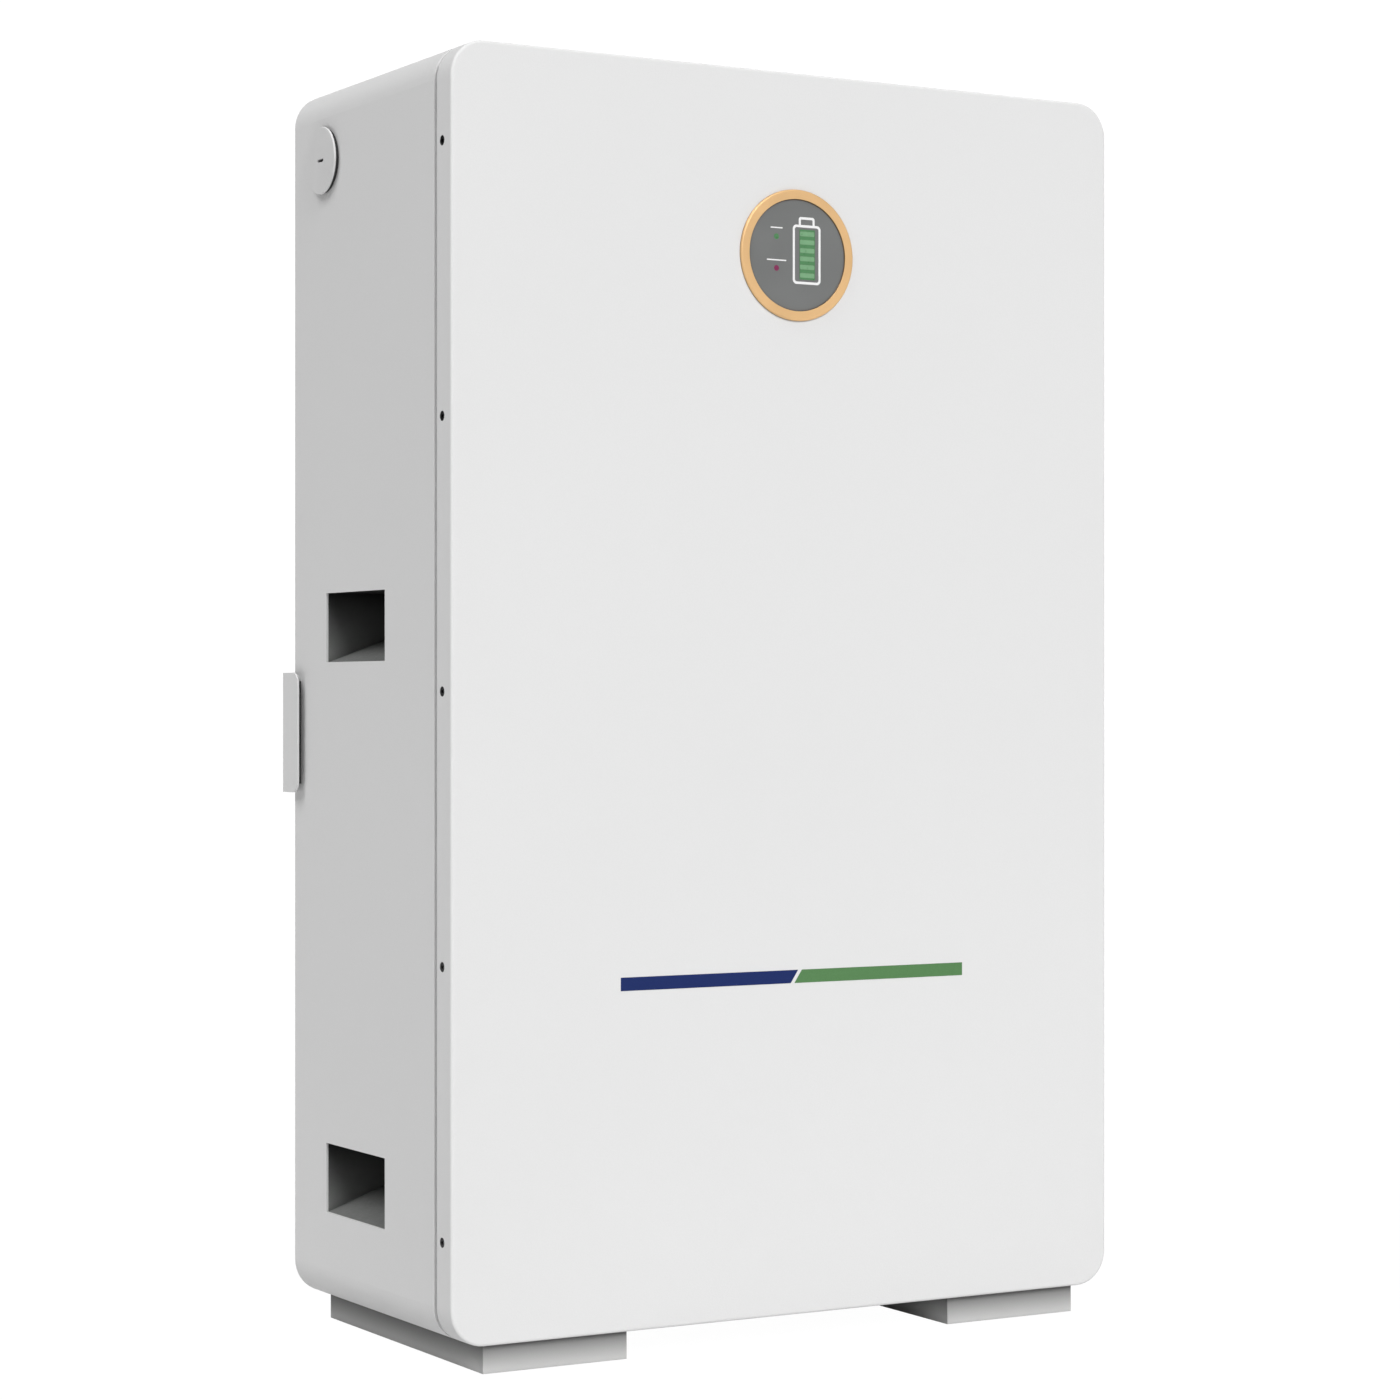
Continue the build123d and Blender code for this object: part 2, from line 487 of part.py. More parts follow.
def make_wall_bracket():
    """A U of sheet steel: two ears, two plates on the wall and a raised middle with keyholes."""
    ear_x = SIDE + EAR_OUT
    middle_y = BACK + 0.6
    ear = block(ear_x - BRACKET_T, ear_x, EAR_FRONT, WALL, BRACKET_Z0, BRACKET_Z1)
    ear = fillet(ear.edges().filter_by(Axis.X).group_by(Axis.Y)[0], EAR_R)
    plate = block(FOOT_PLATE_X, ear_x, WALL - BRACKET_T, WALL, BRACKET_Z0, BRACKET_Z1)
    step = block(FOOT_PLATE_X, FOOT_PLATE_X + BRACKET_T, middle_y, WALL, BRACKET_Z0, BRACKET_Z1)
    half = ear + plate + step
    middle = block(-FOOT_PLATE_X - BRACKET_T, FOOT_PLATE_X + BRACKET_T, middle_y, middle_y + BRACKET_T,
                   BRACKET_Z0, BRACKET_Z1)
    bracket = half + mirrored(half) + middle
    mid_z = (BRACKET_Z0 + BRACKET_Z1) / 2
    for side in (-1, 1):
        for level in (-0.5, 0.5):
            slot_plane = Plane(origin=(side * ANCHOR_X, WALL - 4, mid_z + level * ANCHOR_Z_STEP),
                               x_dir=(1, 0, 0), z_dir=(0, 1, 0))
            bracket -= extrude(slot_plane * SlotOverall(ANCHOR_SLOT_L, ANCHOR_SLOT_W), 5)
        x = side * HANGER_X
        neck = HANGER_R + PLAY
        bracket -= rod_y(neck, x, BACK, WALL, HANGER_Z)
        bracket -= block(x - neck, x + neck, BACK, WALL, HANGER_Z, HANGER_Z + KEYHOLE_RISE)
        bracket -= rod_y(HANGER_HEAD_R + 1, x, BACK, WALL, HANGER_Z + KEYHOLE_RISE)
    store("wall_bracket", bracket)

    pad = block(SIDE, ear_x - BRACKET_T, EAR_FRONT + 7, BACK - 3, BRACKET_Z0 + 6, BRACKET_Z1 - 6)
    store("bracket_pads", pad, mirrored(pad))

    head_y = middle_y + BRACKET_T
    studs, nuts = [], []
    for side in (-1, 1):
        x = side * HANGER_X
        stud = rod_y(HANGER_R, x, BACK_IN - 12, head_y, HANGER_Z)
        stud += rod_y(HANGER_HEAD_R, x, head_y, WALL - 0.8, HANGER_Z)
        studs.append(stud)
        nuts.append(put(hex_nut(7.5, HANGER_R + FIT, 6), (x, BACK_IN - 3, HANGER_Z), (0, -1, 0)))
    store("hanger_plate", *studs)
    store("weld_nuts", *nuts)
    spreader = panel_y(2 * HANGER_X + 60, 70, 6, 0, BACK_IN - 3, BACK_IN, HANGER_Z)
    for side in (-1, 1):
        spreader -= rod_y(HANGER_R + FIT, side * HANGER_X, BACK_IN - 4, BACK_IN + 1, HANGER_Z)
    store("hanger_plate", spreader)


# ---- feet --------------------------------------------------------------------
FOOT_X0, FOOT_X1 = 129.0, 236.0
FOOT_Y0 = FRONT + 6.5
FOOT_Y1 = FRONT + 249.0
FOOT_T = 2.0
PAD_PROUD = 0.8                    # rubber pads below the foot's edge
PAD_R = 12.0
FOOT_BOLT_R = 3.0
FOOT_MID_X = (FOOT_X0 + FOOT_X1) / 2
FOOT_BOLT_SPOTS = [(FOOT_MID_X + dx, y) for dx in (-26, 26) for y in (-35, 35)]
FOOT_PAD_SPOTS = [(FOOT_MID_X + dx, y) for dx in (-34, 34) for y in (FOOT_Y0 + 22, FOOT_Y1 - 22)]


def make_feet():
    """Two folded steel trays, open below, on four rubber pads each."""
    foot = block(FOOT_X0, FOOT_X1, FOOT_Y0, FOOT_Y1, PAD_PROUD, FOOT_H)
    foot -= block(FOOT_X0 + FOOT_T, FOOT_X1 - FOOT_T, FOOT_Y0 + FOOT_T, FOOT_Y1 - FOOT_T, 0, FOOT_H - FOOT_T)
    for x, y in FOOT_BOLT_SPOTS:
        foot -= rod_z(FOOT_BOLT_R + 0.2, x, y, 0, FOOT_H + 1)
    store("feet", foot, mirrored(foot))
    pads = [rod_z(PAD_R, x, y, 0, FOOT_H - FOOT_T) for x, y in FOOT_PAD_SPOTS]
    store("foot_pads", *pads, *[mirrored(pad) for pad in pads])
    bolts, nuts = [], []
    for x, y in FOOT_BOLT_SPOTS:
        for spot in (x, -x):
            head = Pos(spot, y, FOOT_H - FOOT_T - 4) * hexagon(5.7, 4)
            bolts.append(head + rod_z(FOOT_BOLT_R, spot, y, FOOT_H - FOOT_T, BASE_IN + 8))
            nuts.append(Pos(spot, y, BASE_IN) * hex_nut(5.7, FOOT_BOLT_R + FIT, 5))
    store("foot_bolts", *bolts)
    store("weld_nuts", *nuts)


# ---- housing, cover and seal -------------------------------------------------
DISPLAY_Z = MID_Z + 300.0
DISPLAY_R = 45.0
DISPLAY_HOLE_R = 41.2


def side_sheet():
    """The flat right-hand side wall, between the corner bends and in front of the back's rolled edge."""
    return block(SIDE_IN, SIDE, SHELL_FRONT, BACK - EDGE_R, BASE + CORNER_R, TOP - CORNER_R)


def make_side_panels():
    """The two side walls, welded into the housing, with the grips', the recess's and the cap's openings."""
    right = side_sheet()
    for height in GRIP_BOTTOMS:
        right -= grip_mouth(BASE + height)
    left = mirrored(right) - cap_hole(-SIDE - 1, -SIDE_IN + 1)
    right -= panel_x(RECESS_W, RECESS_H, RECESS_R, SIDE_IN - 1, SIDE + 1, RECESS_Y, RECESS_Z)
    store("side_panels", left, right)


def make_housing():
    """The back with its bent top and bottom, and the set-in frame that the cover's flange goes over."""
    shell = slab(0, SHELL_FRONT, BACK)
    shell = fillet(shell.faces().sort_by(Axis.Y)[-1].edges(), EDGE_R)
    shell -= slab(SHEET, SHELL_FRONT + SHEET, BACK_IN)
    housing = shell - slab(LIP_INSET + SHEET, SHELL_FRONT - 1, SHELL_FRONT + SHEET + 1)
    housing -= side_sheet()
    housing -= mirrored(side_sheet())
    lip = slab(LIP_INSET, LIP_FRONT, SHELL_FRONT)
    lip -= slab(LIP_INSET + SHEET, LIP_FRONT + SHEET, SHELL_FRONT + 1)
    lip -= slab(LIP_INSET + LIP_RIM, LIP_FRONT - 1, LIP_FRONT + SHEET + 1)
    screw_hole = Pos(0, 0, -LIP_INSET - SHEET / 2) * Cylinder(SCREW_R + 0.1, SHEET + 0.4)
    for point, out in screw_places():
        lip -= put(screw_hole, point, out)
    store("front_frame", lip)
    for side in (-1, 1):
        housing -= rod_y(HANGER_R + FIT, side * HANGER_X, BACK_IN - 1, BACK + 1, HANGER_Z)
    for x, y in FOOT_BOLT_SPOTS:
        for spot in (x, -x):
            housing -= rod_z(FOOT_BOLT_R + 0.2, spot, y, BASE - 1, BASE_IN + 1)
    store("rear_housing", housing)


def make_cover():
    """The front cover: a shallow tray with rolled edges and a hole for the display."""
    cover = slab(0, FRONT, COVER_BACK)
    cover = fillet(cover.faces().sort_by(Axis.Y)[0].edges(), EDGE_R)
    cover -= slab(SHEET, COVER_IN, COVER_BACK + 1)
    cover -= rod_y(DISPLAY_HOLE_R, 0, FRONT - 1, COVER_IN + 1, DISPLAY_Z)
    cutter = screw_cutter(3.0)
    for point, out in screw_places():
        cover -= put(cutter, point, out)
    store("front_cover", cover)
    gasket = slab(LIP_INSET + 1, COVER_IN, LIP_FRONT) - slab(LIP_INSET + 11, COVER_IN - 1, LIP_FRONT + 1)
    store("cover_gasket", gasket)


# ---- round charge display ----------------------------------------------------
LENS_R = 38.3
LENS_FACE = FRONT - 1.0
LENS_T = 2.5
LENS_BACK = LENS_FACE + LENS_T
ICON_X = 7.8                       # battery symbol's centre
ICON_Z = DISPLAY_Z + 0.8
ICON_W, ICON_H = 22.4, 40.6
ICON_STROKE = 1.7
ICON_CAP_W = 12.8
ICON_CAP_H = 5.4
INLAY = 0.4                        # depth of the printed windows in the lens
BAR_W, BAR_H, BAR_PITCH = 11.6, 3.2, 5.68
BAR_COUNT = 6
LIGHT_X = -16.4
LIGHT_R = 2.0
RUN_Z = DISPLAY_Z + 12.0
ALARM_Z = DISPLAY_Z - 9.6


def icon_outline():
    """The battery symbol: a rounded frame with an open cap on top."""
    depth = (LENS_FACE, LENS_FACE + INLAY)
    cap_z = ICON_Z + ICON_H / 2 + ICON_CAP_H / 2 - 1
    cap = panel_y(ICON_CAP_W, ICON_CAP_H + 2, 1.8, ICON_X, *depth, cap_z)
    cap -= panel_y(ICON_CAP_W - 2 * ICON_STROKE, ICON_CAP_H + 2 - 2 * ICON_STROKE, 0.6, ICON_X,
                   LENS_FACE - 1, LENS_BACK, cap_z)
    frame = panel_y(ICON_W, ICON_H, 3.0, ICON_X, *depth, ICON_Z)
    window = panel_y(ICON_W - 2 * ICON_STROKE, ICON_H - 2 * ICON_STROKE, 1.6, ICON_X,
                     LENS_FACE - 1, LENS_BACK, ICON_Z)
    return cap + frame - window


def charge_bars():
    bars = []
    for step in range(BAR_COUNT):
        z = ICON_Z + (step - (BAR_COUNT - 1) / 2) * BAR_PITCH
        bars.append(panel_y(BAR_W, BAR_H, 0.8, ICON_X + 0.4, LENS_FACE, LENS_BACK, z))
    return bars


def make_display():
    ring = rod_y(DISPLAY_R, 0, FRONT - BEZEL_PROUD, FRONT, DISPLAY_Z)
    ring = fillet(ring.faces().sort_by(Axis.Y)[0].edges(), 1.2)
    sleeve = rod_y(DISPLAY_HOLE_R - 0.2, 0, FRONT, FRONT + 12, DISPLAY_Z)
    bezel = ring + sleeve
    bezel -= rod_y(LENS_R + 0.1, 0, FRONT - 3, LENS_BACK, DISPLAY_Z)
    bezel -= rod_y(LENS_R - 2, 0, FRONT - 3, FRONT + 13, DISPLAY_Z)
    store("display_bezel", bezel)
    ring_nut = rod_y(48, 0, COVER_IN, COVER_IN + 5, DISPLAY_Z)
    ring_nut -= rod_y(DISPLAY_HOLE_R - 0.1, 0, COVER_IN - 1, COVER_IN + 6, DISPLAY_Z)
    store("display_ring_nut", ring_nut)

    outline = icon_outline()
    bars = charge_bars()
    run_light = rod_y(LIGHT_R, LIGHT_X, LENS_FACE, LENS_BACK, RUN_Z)
    alarm_light = rod_y(LIGHT_R, LIGHT_X, LENS_FACE, LENS_BACK, ALARM_Z)
    lens = rod_y(LENS_R, 0, LENS_FACE, LENS_BACK, DISPLAY_Z)
    for inset in [outline, run_light, alarm_light] + bars:
        lens -= inset
    store("display_lens", lens)
    store("battery_symbol", outline)
    store("charge_light_bars", *bars)
    store("run_light", run_light)
    store("alarm_light", alarm_light)

    board_y = LENS_BACK + 3
    store("display_board", rod_y(LENS_R - 2.5, 0, board_y, board_y + 1.6, DISPLAY_Z))
    can = rod_y(LENS_R - 2.2, 0, board_y + 1.6, FRONT + 15, DISPLAY_Z)
    store("display_back_can", can - rod_y(LENS_R - 3.7, 0, board_y + 1, FRONT + 13.5, DISPLAY_Z))


# ---- battery pack inside -----------------------------------------------------
PACK_FRONT = FRONT + 29.0
PACK_BACK = PACK_FRONT + CELL_D
PACK_Z0 = BASE + 30.0
PACK_Z1 = PACK_Z0 + CELL_ROWS * CELL_H + (CELL_ROWS - 1) * CELL_GAP
END_PLATE_T = 12.0
TERMINAL_X = 62.0                  # terminals either side of a cell's middle
TERMINAL_R = 9.0
TERMINAL_OUT = 4.0
BUSBAR_T = 3.0


def cell_middle(column, row):
    """x and z of a cell's middle; column is -1 or 1, row counts from the bottom."""
    return column * (CELL_W + CELL_GAP) / 2, PACK_Z0 + CELL_H / 2 + row * (CELL_H + CELL_GAP)


def make_cells():
    can = fillet(Box(CELL_W, CELL_D, CELL_H).edges().filter_by(Axis.Y), 3.0)
    terminals_y = PACK_FRONT - TERMINAL_OUT
    for column in (-1, 1):
        for row in range(CELL_ROWS):
            x, z = cell_middle(column, row)
            cell = Pos(x, PACK_FRONT + CELL_D / 2, z) * can
            for side in (-1, 1):
                cell += rod_y(TERMINAL_R, x + side * TERMINAL_X, terminals_y, PACK_FRONT, z)
            store("battery_cells", cell)


def make_separators():
    sheets = []
    for column in (-1, 1):
        for row in range(CELL_ROWS - 1):
            x, z = cell_middle(column, row)
            top = z + CELL_H / 2
            x0, x1 = x - CELL_W / 2, x + CELL_W / 2
            sheets.append(block(x0, x1, PACK_FRONT + 2, PACK_BACK, top, top + CELL_GAP))
    store("cell_separators", *sheets)


def link_ends():
    """Terminal pairs joined by a link: down the left column, across, and up the right."""
    pairs = []
    for column in (-1, 1):
        for row in range(CELL_ROWS - 1):
            x, z = cell_middle(column, row)
            inner = -column if row % 2 else column
            terminal_x = x + inner * TERMINAL_X
            pairs.append(((terminal_x, z), (terminal_x, z + CELL_H + CELL_GAP)))
    x, z = cell_middle(1, 0)
    pairs.append(((-x + TERMINAL_X, z), (x - TERMINAL_X, z)))
    return pairs


def make_busbars():
    y0 = PACK_FRONT - TERMINAL_OUT - BUSBAR_T
    y1 = PACK_FRONT - TERMINAL_OUT
    bars = []
    for (xa, za), (xb, zb) in link_ends():
        bars.append(block(min(xa, xb) - 10, max(xa, xb) + 10, y0, y1, min(za, zb) - 10, max(za, zb) + 10))
    nut = hex_nut(6.5, 3.0, 5)
    for column in (-1, 1):
        x, z = cell_middle(column, CELL_ROWS - 1)
        tab_x = x - column * TERMINAL_X
        bars.append(block(tab_x - 10, tab_x + 10, y0, y1, z - 10, z + 45))
    store("cell_busbars", *bars)
    nuts = []
    for column in (-1, 1):
        for row in range(CELL_ROWS):
            x, z = cell_middle(column, row)
            for side in (-1, 1):
                nuts.append(put(nut, (x + side * TERMINAL_X, y0, z), (0, -1, 0)))
    store("busbar_nuts", *nuts)
    boards = []
    for column in (-1, 1):
        x, z = cell_middle(column, 0)
        boards.append(block(x - 14, x + 14, PACK_FRONT - 3, PACK_FRONT - 1.4, PACK_Z0 + 6, PACK_Z1 - 6))
    store("sense_boards", *boards)


def make_pack_frame():
    half = CELL_W + CELL_GAP / 2 + 1
    y0, y1 = PACK_FRONT + 10, PACK_BACK - 8
    for z in (PACK_Z0 - END_PLATE_T, PACK_Z1):
        plate = block(-half, half, y0, y1, z, z + END_PLATE_T)
        store("pack_end_plates", fillet(plate.edges().filter_by(Axis.Z), 4))
    side = block(half, half + 2, y0 + 6, y1 - 6, PACK_Z0 - END_PLATE_T, PACK_Z1 + END_PLATE_T)
    side -= panel_x(110, 440, 12, half - 1, half + 3, (y0 + y1) / 2, (PACK_Z0 + PACK_Z1) / 2)
    store("pack_mounts", side, mirrored(side))
    rails = []
    for y in (y0 + 12, y1 - 40):
        rail = block(-half, half, y, y + 28, BASE_IN, PACK_Z0 - END_PLATE_T)
        rails.append(rail - block(-half - 1, half + 1, y + 2, y + 26, BASE_IN - 1, PACK_Z0 - END_PLATE_T - 2))
    store("pack_mounts", *rails)
    plate_top = PACK_Z1 + END_PLATE_T
    angle = block(-140, 140, y1 - 50, BACK_IN, plate_top, plate_top + 2)
    angle += block(-140, 140, BACK_IN - 2, BACK_IN, plate_top, plate_top + 28)
    store("pack_mounts", angle)


# ---- battery management and cables -------------------------------------------
BMS_X0, BMS_X1 = -215.0, 125.0
BMS_Z0, BMS_Z1 = PACK_Z1 + 40.0, TOP - 30.0
BMS_PLATE_Y = BACK_IN - 24.0
BOARD_X1 = 30.0
FIN_COUNT = 14
POST_XS = (-40.0, 0.0)             # the board's two power posts
POST_Z = BMS_Z0 + 26.0
POST_FRONT = BMS_PLATE_Y - 25.6
FUSE_R = 11.0
FUSE_X = 80.0
FUSE_Y = BMS_PLATE_Y - 33.0
FUSE_Z0 = BMS_Z0 + 55.0
FUSE_Z1 = FUSE_Z0 + 60.0
CABLE_R = 5.0


def make_bms():
    plate = panel_y(BMS_X1 - BMS_X0, BMS_Z1 - BMS_Z0, 5, (BMS_X0 + BMS_X1) / 2, BMS_PLATE_Y - 2, BMS_PLATE_Y,
                    (BMS_Z0 + BMS_Z1) / 2)
    store("bms_plate", plate)
    spacers = [rod_y(5, x, BMS_PLATE_Y, BACK_IN, z)
               for x in (BMS_X0 + 12, BMS_X1 - 12) for z in (BMS_Z0 + 12, BMS_Z1 - 12)]
    store("bms_plate", *spacers)
    board_y1 = BMS_PLATE_Y - 10
    board = block(BMS_X0 + 14, BOARD_X1, board_y1 - 1.6, board_y1, BMS_Z0 + 14, BMS_Z1 - 14)
    store("bms_board", board)
    feet = [rod_y(3, x, board_y1, BMS_PLATE_Y - 2, z)
            for x in (BMS_X0 + 20, BOARD_X1 - 6) for z in (BMS_Z0 + 20, BMS_Z1 - 20)]
    store("bms_plate", *feet)
    sink_y = board_y1 - 1.6
    sink = block(BMS_X0 + 40, BOARD_X1 - 50, sink_y - 5, sink_y, BMS_Z0 + 40, BMS_Z1 - 24)
    fin_step = (BOARD_X1 - 50 - BMS_X0 - 40 - 3) / (FIN_COUNT - 1)
    for fin in range(FIN_COUNT):
        x = BMS_X0 + 40 + fin * fin_step
        sink += block(x, x + 3, sink_y - 25, sink_y - 5, BMS_Z0 + 40, BMS_Z1 - 24)
    store("bms_heatsink", sink)
    store("bms_board", *[rod_y(7, x, POST_FRONT, sink_y, POST_Z) for x in POST_XS])
    base = block(FUSE_X - 20, FUSE_X + 20, FUSE_Y + FUSE_R, BMS_PLATE_Y - 2, FUSE_Z0 - 15, FUSE_Z1 + 15)
    link = rod_z(FUSE_R, FUSE_X, FUSE_Y, FUSE_Z0, FUSE_Z1)
    store("main_fuse", base, link)


def make_cables():
    """Insulated power cables that lie inside the housing, from part to part."""
    pack_y = PACK_FRONT - TERMINAL_OUT - BUSBAR_T - CABLE_R - FIT
    tab_x = (CELL_W + CELL_GAP) / 2 - TERMINAL_X
    tab_z = cell_middle(1, CELL_ROWS - 1)[1] + 15
    plus_z = FUSE_Z0 - 28
    plus = [(tab_x, pack_y, tab_z), (tab_x, pack_y, plus_z), (FUSE_X, pack_y + 52, plus_z),
            (FUSE_X, FUSE_Y, plus_z), (FUSE_X, FUSE_Y, FUSE_Z0)]
    breaker_x = DECK_IN - BREAKER_DEEP / 2 - 5
    breaker_top = BREAKER_Z + BREAKER_H / 2
    breaker_foot = BREAKER_Z - BREAKER_H / 2
    over = [(FUSE_X, FUSE_Y, FUSE_Z1), (FUSE_X, FUSE_Y, breaker_top + 30),
            (breaker_x, BREAKER_Y, breaker_top + 30), (breaker_x, BREAKER_Y, breaker_top)]
    tail_x = DECK - SOCKET_DEEP - 8 - CABLE_R - FIT
    feed = [(breaker_x, BREAKER_Y, breaker_foot), (breaker_x, BREAKER_Y, breaker_foot - 22),
            (tail_x, SOCKET_YS[2], breaker_foot - 42), (tail_x, SOCKET_YS[2], SOCKET_Z - 5)]
    store("positive_cables", tube(plus, [20, 20, 12], CABLE_R), tube(over, [14, 12], CABLE_R),
          tube(feed, [12, 12], CABLE_R))
    minus = [(-tab_x, pack_y, tab_z), (-tab_x, pack_y, POST_Z), (POST_XS[0], pack_y + 52, POST_Z),
             (POST_XS[0], POST_FRONT, POST_Z)]
    low_z = POST_Z - 31
    back = [(POST_XS[1], POST_FRONT, POST_Z), (POST_XS[1], POST_FRONT - 30, POST_Z),
            (POST_XS[1] + 35, POST_FRONT - 54, low_z), (tail_x - 35, SOCKET_YS[1], low_z),
            (tail_x, SOCKET_YS[1], low_z - 28), (tail_x, SOCKET_YS[1], SOCKET_Z - 5)]
    store("negative_cables", tube(minus, [22, 80], CABLE_R), tube(back, [14, 14, 20, 20], CABLE_R))


make_screws()
make_grips()
make_recess()
make_breaker()
make_power_button()
make_reset_button()
make_dip_switch()
make_comm_jacks()
make_power_sockets()
make_ground_and_vent()
make_side_cap()
make_wall_bracket()
make_feet()
make_side_panels()
make_housing()
make_cover()
make_display()
make_cells()
make_separators()
make_busbars()
make_pack_frame()
make_bms()
make_cables()

os.makedirs("parts", exist_ok=True)
for name, solids in nodes.items():
    part = solids[0] if len(solids) == 1 else Compound(children=solids)
    export_step(part, "parts/" + name + ".step")
    print(name, len(solids))
print(len(nodes), "nodes")
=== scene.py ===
import json
import math

import bmesh
import bpy
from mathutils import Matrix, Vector


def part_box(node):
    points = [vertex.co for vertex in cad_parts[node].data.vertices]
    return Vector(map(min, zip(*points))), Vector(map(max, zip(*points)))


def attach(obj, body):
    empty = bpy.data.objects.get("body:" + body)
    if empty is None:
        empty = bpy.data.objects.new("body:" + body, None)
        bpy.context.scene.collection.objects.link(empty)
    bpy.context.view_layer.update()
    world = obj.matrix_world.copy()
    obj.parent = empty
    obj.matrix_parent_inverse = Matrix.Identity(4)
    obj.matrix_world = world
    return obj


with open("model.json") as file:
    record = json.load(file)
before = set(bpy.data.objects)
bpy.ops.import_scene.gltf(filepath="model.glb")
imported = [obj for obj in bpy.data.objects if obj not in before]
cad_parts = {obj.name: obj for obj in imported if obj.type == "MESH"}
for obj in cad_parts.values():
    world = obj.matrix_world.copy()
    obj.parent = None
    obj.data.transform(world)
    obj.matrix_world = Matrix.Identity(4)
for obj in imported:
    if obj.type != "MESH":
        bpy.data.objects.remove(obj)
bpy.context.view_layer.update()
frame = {"nodes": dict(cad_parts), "record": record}
scene = bpy.context.scene
HOUSING = "housing"                # the body that doesn't move


# ---- node-tree helpers -------------------------------------------------------
EDGE_SAMPLES = 6
EDGE_SHARPNESS = 0.02              # how far the normals differ where wear begins on an edge


class Shader:
    """A material's node tree, with short calls for the nodes that every finish here uses."""

    def __init__(self, name, metallic=0.0, coat=0.0, coat_roughness=0.1):
        self.material = bpy.data.materials.new(name)
        self.material.use_nodes = True
        self.tree = self.material.node_tree
        self.bsdf = self.tree.nodes["Principled BSDF"]
        self.bsdf.inputs["Metallic"].default_value = metallic
        self.bsdf.inputs["Coat Weight"].default_value = coat
        self.bsdf.inputs["Coat Roughness"].default_value = coat_roughness
        self.place = self.add("ShaderNodeTexCoord").outputs["Object"]

    def add(self, kind, **values):
        node = self.tree.nodes.new(kind)
        for key, value in values.items():
            setattr(node, key, value)
        return node

    def link(self, source, target):
        self.tree.links.new(source, target)

    def stretched(self, scale):
        """The object's coordinates, stretched by a factor for each axis."""
        mapping = self.add("ShaderNodeMapping")
        mapping.inputs["Scale"].default_value = scale
        self.link(self.place, mapping.inputs["Vector"])
        return mapping.outputs["Vector"]

    def noise(self, scale, detail=3.0, rough=0.5, place=None, distortion=0.0):
        node = self.add("ShaderNodeTexNoise")
        node.inputs["Scale"].default_value = scale
        node.inputs["Detail"].default_value = detail
        node.inputs["Roughness"].default_value = rough
        node.inputs["Distortion"].default_value = distortion
        self.link(place or self.place, node.inputs["Vector"])
        return node.outputs["Fac"]

    def cells(self, scale):
        node = self.add("ShaderNodeTexVoronoi", feature="F1")
        node.inputs["Scale"].default_value = scale
        self.link(self.place, node.inputs["Vector"])
        return node.outputs["Distance"]

    def span(self, value, low, high, to_low=0.0, to_high=1.0):
        """Maps a value from low..high to to_low..to_high, and clamps it there."""
        node = self.add("ShaderNodeMapRange")
        limits = {"From Min": low, "From Max": high, "To Min": to_low, "To Max": to_high}
        for socket, number in limits.items():
            node.inputs[socket].default_value = number
        self.link(value, node.inputs["Value"])
        return node.outputs["Result"]

    def math(self, operation, a, b=0.0):
        """One sum on two values, each a socket or a number."""
        node = self.add("ShaderNodeMath", operation=operation)
        for socket, value in zip(node.inputs, (a, b)):
            if isinstance(value, (int, float)):
                socket.default_value = value
            else:
                self.link(value, socket)
        return node.outputs["Value"]

    def mix(self, factor, a, b):
        """Blends two colours, each a socket or an (r, g, b)."""
        node = self.add("ShaderNodeMix", data_type="RGBA")
        self.link(factor, node.inputs["Factor"])
        inputs, outputs = ([socket for socket in group if socket.type == "RGBA"]
                           for group in (node.inputs, node.outputs))
        for socket, value in zip(inputs, (a, b)):
            if isinstance(value, tuple):
                socket.default_value = (*value, 1.0)
            else:
                self.link(value, socket)
        return outputs[0]

    def scaled(self, mask, amount):
        """A mask weakened, or strengthened, by a factor."""
        return self.math("MULTIPLY", mask, amount)

    def edges(self, radius):
        """1 on edges tighter than radius, 0 on flat faces."""
        rounded = self.add("ShaderNodeBevel", samples=EDGE_SAMPLES)
        rounded.inputs["Radius"].default_value = radius
        flat = self.add("ShaderNodeNewGeometry")
        dot = self.add("ShaderNodeVectorMath", operation="DOT_PRODUCT")
        self.link(rounded.outputs["Normal"], dot.inputs[0])
        self.link(flat.outputs["Normal"], dot.inputs[1])
        return self.span(dot.outputs["Value"], 1.0 - EDGE_SHARPNESS, 1.0 - 6 * EDGE_SHARPNESS)

    def height(self):
        """The object's own z."""
        split = self.add("ShaderNodeSeparateXYZ")
        self.link(self.place, split.inputs["Vector"])
        return split.outputs["Z"]

    def crevices(self, distance, in_open=0.75, deep=0.15, samples=6):
        """1 deep in corners and gaps, 0 in the open."""
        node = self.add("ShaderNodeAmbientOcclusion", samples=samples)
        node.inputs["Distance"].default_value = distance
        return self.span(node.outputs["AO"], in_open, deep)

    def bump(self, height, depth, rounded=0.0):
        """Gives the surface a relief of that depth, and softens its edges to that radius."""
        node = self.add("ShaderNodeBump")
        node.inputs["Strength"].default_value = 1.0
        node.inputs["Distance"].default_value = depth
        self.link(height, node.inputs["Height"])
        if rounded:
            bevel = self.add("ShaderNodeBevel", samples=EDGE_SAMPLES)
            bevel.inputs["Radius"].default_value = rounded
            self.link(bevel.outputs["Normal"], node.inputs["Normal"])
        self.link(node.outputs["Normal"], self.bsdf.inputs["Normal"])

    def colour(self, socket):
        self.link(socket, self.bsdf.inputs["Base Color"])

    def rough(self, socket):
        self.link(socket, self.bsdf.inputs["Roughness"])


def dimmed(colour, factor):
    """A colour with each channel times a factor."""
    return tuple(channel * factor for channel in colour)


